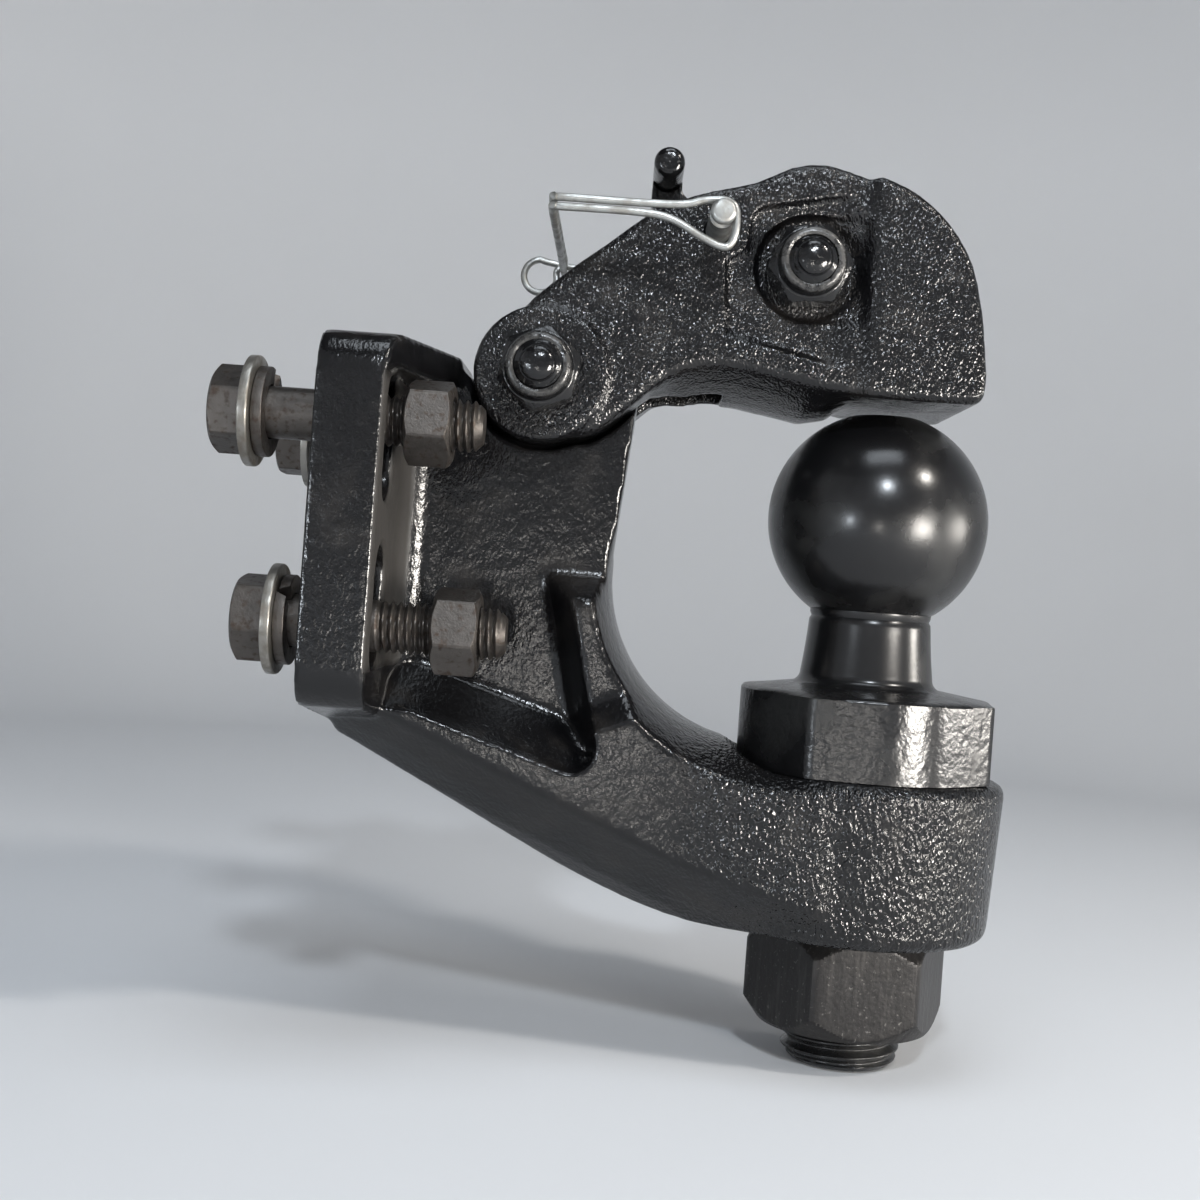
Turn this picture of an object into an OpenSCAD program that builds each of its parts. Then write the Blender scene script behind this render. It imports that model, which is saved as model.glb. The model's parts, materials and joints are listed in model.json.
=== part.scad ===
// Combination pintle hook: a cast hook with a bolt-on plate, a tow ball standing in its lower arm and a
// hinged upper jaw that closes over the ball and is held shut by a lever, a cross pin and a wire keeper.
// X runs from the mount face to the ball, Y across the hook, Z up. The origin is the middle of the mount face.

/* [Mount plate] */
// Width of the plate, across the hook
plate_w = 114; // [110:1:126]
// Height of the plate along its sides
plate_h = 91; // [88:1:100]
// Thickness of the plate at the slots
plate_t = 16.6; // [14:0.2:19]
// Radius of the plate's corners, seen from behind
plate_corner = 10; // [6:1:13]
// Depth of the shallow vee under the plate
plate_vee = 8; // [4:1:11]
// Radius of the cove where the plate runs into the web
plate_cove = 9; // [5:1:11]
// How far the brow above the slots stands out of the plate, where it meets the web
brow_out = 13; // [9:0.5:14]

/* [Mount slots] */
// Width of each slot
slot_w = 14.3; // [13.8:0.1:15.5]
// Length of each slot over its round ends
slot_l = 30.2; // [26:0.2:33]
// Distance between the two rows of slots, across the hook
slot_span_y = 85.7; // [83:0.1:87]
// Distance between the upper and lower slot centres
slot_span_z = 41.3; // [38:0.1:44]

/* [Mount bolts] */
// Thread diameter of the four mount bolts
bolt_d = 12.7; // [12:0.1:13]
// Length of a mount bolt under its head
bolt_l = 57.2; // [55:0.2:60]
// Distance across the flats of the bolt heads and nuts
hex_af = 19.05; // [18.5:0.05:20]
// Thickness of a bolt head
head_t = 8.2; // [7:0.1:9]
// Thickness of a plain nut
nut_t = 11.1; // [10:0.1:12]
// Outside diameter of the flat washers
washer_d = 27; // [24:0.5:28]
// Thickness of the flat washers
washer_t = 2.4; // [1.6:0.1:3]
// Outside diameter of the split lock washers
split_d = 22; // [20.5:0.1:23]
// Thickness of the split lock washers
split_t = 3.2; // [2.6:0.1:3.6]
// Height of the upper bolts above the middle, and of the lower ones below it
bolt_z = 25; // [22:0.5:27]
// How far the upper bolts stand out behind the mount face, up to the head
upper_stand = 18; // [14:0.2:20]
// How far the far upper bolt stands out behind the mount face, up to the head
far_stand = 20.6; // [14:0.2:22]
// How far the lower bolts stand out behind the mount face, up to the head
lower_stand = 9; // [8.4:0.2:12]
// Gap between the plate and the upper nuts
upper_nut_gap = 4; // [0.5:0.25:6]
// Gap between the plate and the lower nuts
lower_nut_gap = 14; // [10:0.5:16]

/* [Web and throat] */
// Thickness of the web between plate and throat
web_t = 30; // [28:0.5:33]
// Distance from the mount face to the throat centre
throat_x = 115; // [113:0.5:117]
// Height of the throat centre
throat_z = -8; // [-9:0.5:-7]
// Radius of the throat at the middle plane
throat_r = 42.3; // [41:0.1:43]
// How much wider the throat gets at the sides of the arm, because its face is crowned
throat_crown = 7.1; // [5:0.1:8]

/* [Lower arm] */
// Width of the arm
arm_w = 64; // [60:1:68]
// Width over the fingers that run up the throat on either side of the web
finger_w = 52; // [46:1:56]
// How far the fingers' flanks spread towards the web
finger_spread = 6; // [3:0.5:7]
// Slope of the arm's lower side edge, in degrees
arm_slope = 23.1; // [22:0.1:24]
// Depth of the keel below that edge
keel_depth = 20; // [17:0.5:22]
// Radius of the boss that holds the ball
boss_r = 38.5; // [37:0.5:40]
// Radius of the boss at its lower end
boss_low_r = 36.4; // [33:0.1:37]
// Height of the boss
boss_h = 41.5; // [39:0.5:43]
// Radius of the boss's rims
boss_rim = 3; // [2:0.5:6]

/* [Tow ball] */
// Diameter of the ball
ball_d = 58.74; // [56:0.01:60]
// Distance from the mount face to the ball's axis
ball_x = 143; // [142:0.5:145]
// Height of the face that the ball's flange stands on
seat_z = -56; // [-57:0.5:-55]
// Diameter of the neck under the ball
neck_top_d = 32.4; // [30:0.2:34]
// Diameter of the neck at the flange
neck_low_d = 35.4; // [34:0.2:37]
// Distance across the eight flats of the flange
flange_af = 66.5; // [62:0.5:67]
// Distance across the four trimmed corners of the flange
flange_trim = 67.6; // [67.2:0.1:69]
// Thickness of the flange
flange_t = 23; // [20:0.5:25]
// Diameter of the threaded shank
shank_d = 31.75; // [30:0.05:33]
// Distance across the flats of the ball's nut
ball_nut_af = 47.6; // [46:0.1:50]
// Thickness of the ball's nut
ball_nut_t = 26; // [24:0.5:28]
// How far the shank shows below the nut
shank_show = 10; // [6:0.5:12]

/* [Upper jaw] */
// Distance from the mount face to the jaw's pivot
pivot_x = 51; // [50:0.5:52]
// Height of the jaw's pivot
pivot_z = 41.5; // [41:0.5:42.5]
// Radius of the jaw's ears round the pivot
ear_r = 17.3; // [16.5:0.1:17.8]
// Width of the jaw over its walls
jaw_w = 52; // [50:0.5:54]
// Width of the jaw's nose
nose_w = 55; // [54.5:0.5:58]
// Width of the space between the jaw's walls
jaw_slot = 22; // [21:0.1:23]
// Height of the flat underside of the nose
nose_z = 41.4; // [40.6:0.1:42.5]
// Gap between the closed nose and the full round of the ball, whose top is cut flat
nose_gap = 0.7; // [0.4:0.1:2]
// Radius of the jaw's outer rims
jaw_rim = 2; // [1.5:0.25:3.5]
// Thickness of the roof between the walls
roof_t = 6; // [5:0.5:7]
// How far the round ears stand out of the walls
ear_pad = 1.5; // [0.5:0.25:2]
// Radius of the ears' edges
ear_rim = 1; // [0.5:0.25:2.5]
// How far the jaw's underside hangs down in its middle, because it is crowned
jaw_belly = 7.3; // [4:0.1:8]
// Depth of the sunk panel round the lock pivot
panel_depth = 1.5; // [1:0.25:2]
// Diameter of the spot face under the lock pivot's nut
spot_d = 27; // [25.5:0.5:28]
// Depth of that spot face below the wall
spot_depth = 4; // [3:0.25:5]

/* [Lock] */
// Distance from the mount face to the lock pivot
lock_x = 116.8; // [116:0.2:117.4]
// Height of the lock pivot
lock_z = 73.2; // [72.6:0.1:73.8]
// Thickness of the lock lever
lever_t = 10; // [9:0.25:10.25]
// Radius of the lever's hub
lever_hub_r = 11; // [10:0.25:11.5]
// Travel of the lever, in degrees
lever_travel = 15; // [12:1:15]
// Diameter of the cross handle
handle_d = 8; // [7:0.25:9]
// Length of the cross handle
handle_l = 40; // [30:1:48]
// Wire of the lever's return spring
spring_wire = 1.4; // [1.2:0.1:1.5]
// Turns of the return spring
spring_turns = 2.4; // [2:0.1:2.5]

/* [Safety pin] */
// Diameter of the safety pin
pin_d = 6.35; // [6:0.05:6.6]
// Distance from the mount face to the pin
pin_x = 93.2; // [93:0.1:93.5]
// Height of the pin
pin_z = 80.8; // [80.5:0.1:81]
// How far the pin's tip reaches past the middle plane
pin_tip = 48; // [47:0.5:50]
// How far the pin's head reaches past the middle plane
pin_head = 44; // [43.5:0.5:46]
// Wire of the keeper
wire_d = 2; // [1.8:0.1:2.2]

/* [Fits] */
// Clearance of a pin that turns or slides in its bore, on the radius
run_fit = 0.08; // [0.04:0.01:0.1]
// Clearance of a threaded or seated piece, on the radius
seat_fit = 0.04; // [0.02:0.01:0.08]
// Gap between faces that pass each other
pass_gap = 0.5; // [0.4:0.05:0.7]

/* [Hidden] */
$fn = 64;
facet_fn = 6;
cut = 1;
far = 200;
black = [0.03, 0.03, 0.035];
bare = [0.25, 0.22, 0.2];
zinc = [0.72, 0.73, 0.74];

pivot = [pivot_x, pivot_z];
lock = [lock_x, lock_z];
pin = [pin_x, pin_z];
ball_z = nose_z - nose_gap - ball_d / 2;
boss_low = seat_z - boss_h;
shank_end = boss_low - ball_nut_t - shank_show;
flange_top = seat_z + flange_t;
wall_y = jaw_w / 2;
pad_y = wall_y + ear_pad;
spot_y = wall_y - spot_depth;
tongue_t = jaw_slot - 2 * pass_gap;
tongue_r = ear_r - 0.8;
ear_room = ear_r + 1.2;
horn_z = pivot_z + 5.5;

// Arc of n steps about c, from angle a to angle b
function arc(c, r, a, b, n = 8) =
    [for (i = [0:n]) let (t = a + (b - a) * i / n) c + r * [cos(t), sin(t)]];

// Point of a smooth curve between b and c, with a and d as the points on either side
function between(a, b, c, d, t) =
    (2 * b + (c - a) * t + (2 * a - 5 * b + 4 * c - d) * t * t + (3 * b - a - 3 * c + d) * t * t * t) / 2;

// Smooth curve through all the points of p, n steps for each stretch
function through(p, n = 3) = concat(
    [for (i = [0:len(p) - 2], k = [0:n - 1])
        between(p[max(i - 1, 0)], p[i], p[i + 1], p[min(i + 2, len(p) - 1)], k / n)],
    [p[len(p) - 1]]);

// Closed outline p moved inwards by d
function inset(p, d) = [for (i = [0:len(p) - 1])
    let (n = len(p), t = p[(i + 1) % n] - p[(i + n - 1) % n]) p[i] + d * [-t.y, t.x] / norm(t)];

// Closed outline that runs forwards along low and back along high
function closed(low, high) = concat(low, [for (i = [len(high) - 1:-1:0]) high[i]]);

function unit(v) = v / norm(v);

// Smooth rise from 0 at a to 1 at b
function rise(x, a, b) = let (t = max(0, min(1, (x - a) / (b - a)))) t * t * (3 - 2 * t);

// Side profile in X and Z, given thickness t across the hook
module across(t) {
    rotate([90, 0, 0]) linear_extrude(t, center = true) children();
}

// Cross section in Y and Z, carried along X
module along(l) {
    rotate([90, 0, 90]) linear_extrude(l) children();
}

// Round bar across the hook at point p of the side view, from y0 to y1
module cross_bar(p, d, y0, y1) {
    translate([p.x, y1, p.y]) rotate([90, 0, 0]) cylinder(d = d, h = y1 - y0);
}

// Slab across the hook between the lower edge low and the upper edge high, two chains of equally many points that
// both run forwards. Each pair of points has its width in w, and both rims are rounded to radius r. The lower edge
// hangs down in the middle by the depths in belly.
module rounded_slab(low, high, w, r, belly, steps = 3, belly_steps = 8) {
    p = closed(low, high);
    half = closed(w, w) / 2;
    n = len(p);
    rim = [for (k = [0:steps]) let (a = 90 * k / steps) [-1, r * (1 - cos(a)), r * (1 - sin(a))]];
    levels = concat(rim, [for (k = [1:belly_steps - 1]) [2 * k / belly_steps - 1, r, 0]],
        [for (k = [steps:-1:0]) [1, rim[k][1], rim[k][2]]]);
    points = [for (l = levels) let (q = inset(p, l[2])) for (i = [0:n - 1])
        let (y = l[0] * (half[i] - l[1]), drop = i < n / 2 ? belly[i] * (1 - pow(y / half[i], 2)) : 0)
        [q[i].x, y, q[i].y - drop]];
    last = (len(levels) - 1) * n;
    sides = [for (k = [0:len(levels) - 2], i = [0:n - 1], half = [0, 1])
        let (a = k * n + i, b = k * n + (i + 1) % n)
        half == 0 ? [a, b, b + n] : [a, b + n, a + n]];
    near = [for (i = [0:n / 2 - 2], half = [0, 1])
        half == 0 ? [i, n - 1 - i, i + 1] : [i + 1, n - 1 - i, n - 2 - i]];
    other = [for (f = near) [last + f[0], last + f[2], last + f[1]]];
    polyhedron(points, concat(sides, near, other));
}

// Round wire of diameter d along the points of p, with its ends closed
module wire(p, d) {
    m = len(p);
    t = [for (i = [0:m - 1]) unit(p[min(i + 1, m - 1)] - p[max(i - 1, 0)])];
    first = unit(cross(t[0], abs(t[0].z) < 0.9 ? [0, 0, 1] : [1, 0, 0]));
    n = [for (i = 0, v = first; i < m; i = i + 1, v = i < m ? unit(v - (v * t[i]) * t[i]) : v) v];
    points = [for (i = [0:m - 1], k = [0:facet_fn - 1])
        let (a = 360 * k / facet_fn) p[i] + d / 2 * (cos(a) * n[i] + sin(a) * cross(t[i], n[i]))];
    sides = [for (i = [0:m - 2], k = [0:facet_fn - 1], half = [0, 1])
        let (a = i * facet_fn + k, b = i * facet_fn + (k + 1) % facet_fn)
        half == 0 ? [a, b + facet_fn, b] : [a, a + facet_fn, b + facet_fn]];
    last = (m - 1) * facet_fn;
    polyhedron(points, concat(sides,
        [[for (k = [0:facet_fn - 1]) k]], [[for (k = [facet_fn - 1:-1:0]) last + k]]));
}

// Hexagon of thickness t along Z with its corners chamfered at the top, and at the bottom too if both is set
module hex(af, t, both = false) {
    corner = af / sqrt(3);
    drop = (corner - af / 2) * 0.6;
    low = both ? drop : 0;
    intersection() {
        cylinder(r = corner, h = t, $fn = 6);
        rotate_extrude() polygon([[0, 0], [both ? af / 2 : corner, 0], [corner, low],
            [corner, t - drop], [af / 2, t], [0, t]]);
    }
}

// Bolt along Z with its head below zero and its tip chamfered
module bolt(d, l, af, t, turn = 0) {
    chamfer = d / 6;
    rotate([180, 0, turn]) hex(af, t);
    cylinder(d = d, h = l - chamfer);
    translate([0, 0, l - chamfer]) cylinder(d1 = d, d2 = d - 2 * chamfer, h = chamfer);
}

// Bolted pivot across the hook: head on the far side, lock nut on the near side
module pivot_bolt(p, y_seat) {
    translate([p.x, y_seat, p.y]) rotate([90, 0, 0]) {
        bolt(bolt_d, 2 * y_seat + lock_nut_t + pivot_tip, hex_af, head_t, 12);
    }
}

lock_nut_hex_t = 10;
lock_nut_t = 15;
lock_nut_collar_d = 16.4;
lock_nut_lip_d = 14.4;
pivot_tip = 3;

// Lock nut with a plastic ring: a hexagon, a round collar and a turned-in lip
module pivot_nut(p, y_seat, turn) {
    translate([p.x, -y_seat, p.y]) rotate([90, 0, 0]) difference() {
        union() {
            rotate(turn) hex(hex_af, lock_nut_hex_t);
            rotate_extrude() polygon([[0, 0], [lock_nut_collar_d / 2, 0],
                [lock_nut_collar_d / 2, lock_nut_t - cut], [lock_nut_lip_d / 2, lock_nut_t], [0, lock_nut_t]]);
        }
        translate([0, 0, -cut]) cylinder(r = bolt_d / 2 + seat_fit, h = lock_nut_t + 2 * cut);
    }
}

// Lower and upper edge of the jaw, from the back of its round ear to the nose. The nose starts at nose_x, and
// crown is the middle of the round hump above the lock.
nose_x = 131;
nose_front = ball_x + 21;
nose_step = 3;
crown = [pivot_x + 64, lock_z - 0.5];
ear_back = 195;
nose_under = [[nose_x + nose_step, nose_z], [nose_front - 8, nose_z], [nose_front - 1, nose_z + 1],
    [nose_front, nose_z + 8]];
nose_over = [[nose_x + nose_step, crown.y + 25], [nose_front - 21, crown.y + 21.3], [nose_front - 12, crown.y + 14],
    [nose_front - 5.5, crown.y + 4], [nose_front - 2, crown.y - 9]];
ear_core = ear_r - 1.5;
jaw_under = concat(arc(pivot, ear_core, ear_back, 268, 10), through(
    [pivot + [1.5, -ear_core], pivot + [11, -15.3], pivot + [17, -12.3], pivot + [23, -7],
        [pivot_x + 33, nose_z + 2], [pivot_x + 41, nose_z + 5.2], [pivot_x + 51, nose_z + 5.2],
        [crown.x + 5, nose_z + 2.2], [nose_x, nose_z + 0.6]], 2));
jaw_over = concat(arc(pivot, ear_core, ear_back, 122, 8), through(
    [pivot + [-3, 19.8], pivot + [5, 27], pivot + [15, 35], crown + [-41, 10.5], crown + [-33, 15.2],
        crown + [-24, 18.5], crown + [-13, 21.5], crown + [-4, 26], crown + [5, 27.3],
        [nose_x, crown.y + 24.4]], 2));
jaw_outline = closed(jaw_under, jaw_over);
nose_low = through(nose_under, 4);
nose_high = through(nose_over, 3);
jaw_widths = concat([for (p = jaw_under) jaw_w], [for (p = nose_low) nose_w]);
jaw_bellies = [for (p = concat(jaw_under, nose_low))
    jaw_belly * rise(p.x, pivot_x + 26, pivot_x + 38) * (1 - rise(p.x, nose_x - 9, nose_x + nose_step))];

// Space between the jaw's walls: open behind and below, closed in front round the lever's hub
mouth_x = 98;
roof_x = pivot_x + 5;
hub_room = lever_hub_r + 3.5;
jaw_space = concat(
    [[0, -far], [mouth_x, -far], [mouth_x, lock_z - 16]],
    arc(lock, hub_room, -60, 60),
    [[lock_x, crown.y + 24 - roof_t], crown + [-13, 21.5 - roof_t], crown + [-33, 13 - roof_t],
        [roof_x, pivot_z + 27 - roof_t], [roof_x, far], [0, far]]);

// Sunk panel round the lock pivot, and how far its pocket runs towards the nose
pocket_run = 15;
panel_run = 7;
panel_end = nose_x + nose_step;
panel = [crown + [-18, -17.6], crown + [-10.6, -19.4], crown + [12.4, -24], [panel_end, crown.y - 25],
    [panel_end, crown.y + 20.5], crown + [10, 19.3], crown + [-11.3, 15], crown + [-13.4, 12.4], crown + [-14.2, 4],
    crown + [-19.4, 0.7]];

// Sunk panel, whose floor runs out into the side of the nose
module side_panel() {
    floor_y = wall_y - panel_depth;
    intersection() {
        across(far) polygon(panel);
        translate([0, 0, -far]) linear_extrude(2 * far) polygon([[0, floor_y], [nose_x - panel_run, floor_y],
            [panel_end, nose_w / 2], [panel_end, far], [0, far]]);
    }
}

// Ears: one round of the full width, with its edges rounded off, before the space between the walls is cut
module ears() {
    translate([pivot_x, 0, pivot_z]) rotate([90, 0, 0]) rotate_extrude() polygon(concat(
        [[0, -pad_y]],
        arc([ear_r - ear_rim, -pad_y + ear_rim], ear_rim, -90, 0, 4),
        arc([ear_r - ear_rim, pad_y - ear_rim], ear_rim, 0, 90, 4),
        [[0, pad_y]]));
}

// Pocket of the lock pivot's nut and head: a round spot face whose floor runs out towards the nose
module lock_pocket() {
    cross_bar(lock, spot_d, spot_y, far);
    translate([lock_x, 0, lock_z - spot_d / 2]) linear_extrude(spot_d)
        polygon([[0, spot_y], [pocket_run, wall_y - panel_depth], [pocket_run, far], [0, far]]);
}

module upper_jaw() color(black) difference() {
    union() {
        rounded_slab(concat(jaw_under, nose_low), concat(jaw_over, nose_high), jaw_widths, jaw_rim, jaw_bellies);
        ears();
    }
    across(jaw_slot) polygon(jaw_space);
    translate([lever_gate_x, 0, lock_z]) across(lever_t + 6) square([lever_gate_l, far]);
    for (side = [-1, 1]) {
        mirror([0, side > 0 ? 0 : 1, 0]) side_panel();
        mirror([0, side > 0 ? 0 : 1, 0]) lock_pocket();
    }
    cross_bar(pivot, bolt_d + 2 * seat_fit, -far, far);
    cross_bar(lock, bolt_d + 2 * seat_fit, -far, far);
    cross_bar(pin, pin_d + 2 * run_fit, -far, far);
}

lever_gate_x = 70;
lever_gate_l = 34;

module jaw_pivot_bolt() color(black) pivot_bolt(pivot, pad_y);
module jaw_pivot_nut() color(black) pivot_nut(pivot, pad_y, 20);
module lock_pivot_bolt() color(black) pivot_bolt(lock, spot_y);
module lock_pivot_nut() color(black) pivot_nut(lock, spot_y, 5);

// Lock lever: a hub on the lock pivot, a lug that stands out of the jaw's roof for the handle and a tail
// that comes down over the horn of the hook. The safety pin passes through its curved slot.
handle = [pivot_x + 28.7, crown.y + 26.7];
lever_outline = concat(
    [[lock_x + 2, lock_z - lever_hub_r], [lock_x - 15, lock_z - 8.5], [lock_x - 29, horn_z + 5],
        [lock_x - 35, horn_z + 2.5], [lock_x - 39, horn_z + 2.5], [lock_x - 39, horn_z + 8],
        [lock_x - 34, lock_z - 6], [lock_x - 35, lock_z + 8]],
    [handle - [handle_d / 2, handle_d], handle - [handle_d / 2, 0], handle + [handle_d / 2, 0],
        handle + [handle_d / 2, -handle_d / 2], [lock_x - 20, lock_z + 9.5], [lock_x + 1, lock_z + lever_hub_r]]);
pin_reach = norm(pin - lock);
pin_angle = atan2(pin.y - lock.y, pin.x - lock.x);
pin_room = pin_d / 2 + pass_gap;

module lock_lever() color(black) difference() {
    union() {
        across(lever_t) polygon(lever_outline);
        cross_bar(lock, 2 * lever_hub_r, -lever_t / 2, lever_t / 2);
    }
    cross_bar(lock, bolt_d + 2 * run_fit, -far, far);
    cross_bar(handle, handle_d + 2 * seat_fit, -far, far);
    translate([lock.x, 0, lock.y]) rotate([90, 0, 0]) linear_extrude(2 * lever_t, center = true)
        polygon(concat(
            arc([0, 0], pin_reach + pin_room, pin_angle, pin_angle + lever_travel),
            arc([0, 0], pin_reach - pin_room, pin_angle + lever_travel, pin_angle)));
    for (a = [pin_angle, pin_angle + lever_travel])
        cross_bar(lock + pin_reach * [cos(a), sin(a)], 2 * pin_room, -far, far);
}

// Handle: a round bar across the top of the lever, with its ends rounded off
module lock_handle() color(black) translate([handle.x, 0, handle.y]) rotate([90, 0, 0]) {
    round_off = handle_d / 5;
    rotate_extrude() polygon(concat(
        [[0, -handle_l / 2]],
        arc([handle_d / 2 - round_off, -handle_l / 2 + round_off], round_off, -90, 0, 4),
        arc([handle_d / 2 - round_off, handle_l / 2 - round_off], round_off, 0, 90, 4),
        [[0, handle_l / 2]]));
}

// Return spring: turns round the lock pivot beside the lever, one leg along the lever and one in the jaw
spring_r = 9;
spring_leg = 8;
spring_pitch = spring_wire + 0.15;
spring_y = lever_t / 2 + pass_gap + spring_wire / 2;
spring_steps = 16;

module lock_spring() color(zinc) {
    turns = [for (i = [0:round(spring_turns * spring_steps)]) let (a = 360 * i / spring_steps)
        [lock_x - spring_r * sin(a), spring_y + spring_pitch * i / spring_steps, lock_z - spring_r * cos(a)]];
    last = turns[len(turns) - 1];
    end = 360 * round(spring_turns * spring_steps) / spring_steps;
    wire(concat([turns[0] + [spring_leg, 0, 0]], turns, [last + spring_leg / 2 * [-cos(end), 0, sin(end)]]),
        spring_wire);
}

// Safety pin: a plain bar across the jaw with rounded tips, cross-drilled near its head for the keeper and
// grooved near its tip, where the keeper's loop snaps in
hinge_y = pin_head - 4;
keeper_in = 3.4;
groove_r = pin_d / 2 - 1.5;
module safety_pin() color(zinc) difference() {
    tip = pin_d / 6;
    translate([pin_x, 0, pin_z]) rotate([90, 0, 0]) rotate_extrude() polygon([[0, -pin_head],
        [pin_d / 2 - tip, -pin_head], [pin_d / 2, -pin_head + tip], [pin_d / 2, pin_tip - tip],
        [pin_d / 2 - tip, pin_tip], [0, pin_tip]]);
    translate([pin_x, hinge_y, pin_z]) cylinder(d = wire_d + 2 * run_fit, h = 2 * pin_d, center = true);
    translate([pin_x, -pin_tip + keeper_in, pin_z]) rotate([90, 0, 0]) rotate_extrude() polygon([
        [groove_r, -wire_d / 2 - pass_gap], [pin_d, -wire_d - pass_gap], [pin_d, wire_d + pass_gap],
        [groove_r, wire_d / 2 + pass_gap]]);
}

// Keeper: one spring wire. Its ends hinge in the pin's cross hole, its two strands run behind the handle
// and back along the near side, and the loop in the middle snaps round the pin's tip.
keeper_x = pivot_x + 0.7;
keeper_near = keeper_in - pin_tip;
keeper_far = hinge_y + 1.5;
strand = wire_d / 2 + 0.15;
ring_r = 5;
ring_c = [keeper_x - 7, pin_z - 2];
bend = 3;
over = pin_d / 2 + wire_d / 2 + 0.4;
wire_end = 0.6;
snap = groove_r + wire_d / 2 + 0.15;

// Upper strand if s is 1 and lower strand if s is -1, from the pin's head to the near side
function strand_run(s) = concat(
    [[pin_x, hinge_y, pin_z + s * wire_end], [pin_x, hinge_y, pin_z + s * pin_d / 2],
        [pin_x, hinge_y, pin_z + s * over],
        [pin_x - bend, hinge_y + 1, pin_z + s * (over + 0.6)], [pin_x - 12, keeper_far, pin_z + s * strand],
        [keeper_x + 2 * bend, keeper_far, pin_z + s * strand]],
    s > 0 ? [for (a = [60:40:380]) [ring_c.x + ring_r * cos(a), keeper_far - a / 200, ring_c.y + ring_r * sin(a)]]
          : [[keeper_x + 0.3 * bend, keeper_far - 0.3 * bend, pin_z - strand]],
    [[keeper_x, keeper_far - 2 * bend, pin_z + s * strand], [keeper_x, 0, pin_z + s * strand],
        [keeper_x, keeper_near + bend, pin_z + s * strand],
        [keeper_x + 0.3 * bend, keeper_near + 0.3 * bend, pin_z + s * strand],
        [keeper_x + bend, keeper_near, pin_z + s * strand],
        [pin_x - 20, keeper_near, pin_z + s * strand]]);

module keeper_wire() color(zinc) {
    lower = strand_run(-1);
    bends = [[-10, 1.5], [-5.5, snap - 0.2], [-2.4, snap + 0.3], [1, snap + 0.2], [snap + 0.2, 1],
        [snap + 0.4, -4.5], [1.2, -8], [-4.5, -6.2], [-12, -2.4]];
    loop = [for (p = bends) [pin_x + p.x, keeper_near, pin_z + p.y]];
    wire(through(concat(strand_run(1), loop, [for (i = [len(lower) - 1:-1:0]) lower[i]]), 2), wire_d);
}

// Tow ball: ball, neck, eight-sided flange with four trimmed corners and a threaded shank, all one forging
flange_turn = -30;
module hitch_ball() color(black) translate([ball_x, 0, 0]) {
    neck_a = asin(neck_top_d / ball_d);
    neck_top = ball_z - ball_d / 2 * cos(neck_a);
    flat_a = 72;
    chamfer = shank_d / 12;
    slope = 3;
    rotate_extrude($fn = 96) polygon(concat(
        [[0, shank_end], [shank_d / 2 - chamfer, shank_end], [shank_d / 2, shank_end + chamfer],
            [shank_d / 2, flange_top], [neck_low_d / 2, flange_top]],
        arc([0, ball_z], ball_d / 2, neck_a - 90, flat_a, 40),
        [[0, ball_z + ball_d / 2 * sin(flat_a)]]));
    intersection() {
        translate([0, 0, seat_z]) rotate(flange_turn) cylinder(d = flange_af / cos(22.5), h = flange_t, $fn = 8);
        translate([0, 0, seat_z]) rotate(flange_turn) cylinder(d = flange_trim * sqrt(2), h = flange_t, $fn = 4);
        rotate_extrude($fn = 96) polygon([[0, seat_z], [flange_af / 2, seat_z], [flange_af, seat_z + slope],
            [flange_af, flange_top - 2 * slope], [flange_af / 2 - slope, flange_top - slope / 2],
            [neck_low_d / 2 + slope, flange_top], [0, flange_top]]);
    }
}

ball_nut_turn = 5;
module ball_nut() color(black) translate([ball_x, 0, boss_low - ball_nut_t]) difference() {
    rotate(ball_nut_turn) hex(ball_nut_af, ball_nut_t, true);
    translate([0, 0, -cut]) cylinder(r = shank_d / 2 + seat_fit, h = ball_nut_t + 2 * cut);
}

// Mount bolt number i of 1 to 4: 1 and 2 are the near pair, upper and lower; 3 and 4 the far pair
function upper(i) = i % 2 == 1;
function stand(i) = i == 3 ? far_stand : upper(i) ? upper_stand : lower_stand;
function nut_x(i) = plate_t + (upper(i) ? upper_nut_gap : lower_nut_gap);

head_turns = [7, 45, 24, 50];
nut_turns = [50, 47, 20, 33];

module at_bolt(i, x) {
    translate([x, (i < 3 ? -1 : 1) * slot_span_y / 2, (upper(i) ? 1 : -1) * bolt_z]) rotate([0, 90, 0]) children();
}

module mount_bolt(i) color(bare) at_bolt(i, -stand(i)) bolt(bolt_d, bolt_l, hex_af, head_t, head_turns[i - 1]);

module flat_washer(i) color(zinc) at_bolt(i, -stand(i)) difference() {
    cylinder(d = washer_d, h = washer_t);
    translate([0, 0, -cut]) cylinder(d = bolt_d + 0.8, h = washer_t + 2 * cut);
}

module lock_washer(i) color(bare) at_bolt(i, washer_t - stand(i)) difference() {
    cylinder(d = split_d, h = split_t);
    translate([0, 0, -cut]) cylinder(d = bolt_d + 0.6, h = split_t + 2 * cut);
    rotate([0, 0, 70 * i]) translate([0, split_d / 3, split_t / 2]) rotate([0, 35, 0])
        cube([1.2, split_d / 2, 3 * split_t], center = true);
}

module mount_nut(i) color(bare) at_bolt(i, nut_x(i)) difference() {
    rotate(nut_turns[i - 1]) hex(hex_af, nut_t, true);
    translate([0, 0, -cut]) cylinder(r = bolt_d / 2 + seat_fit, h = nut_t + 2 * cut);
}

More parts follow.
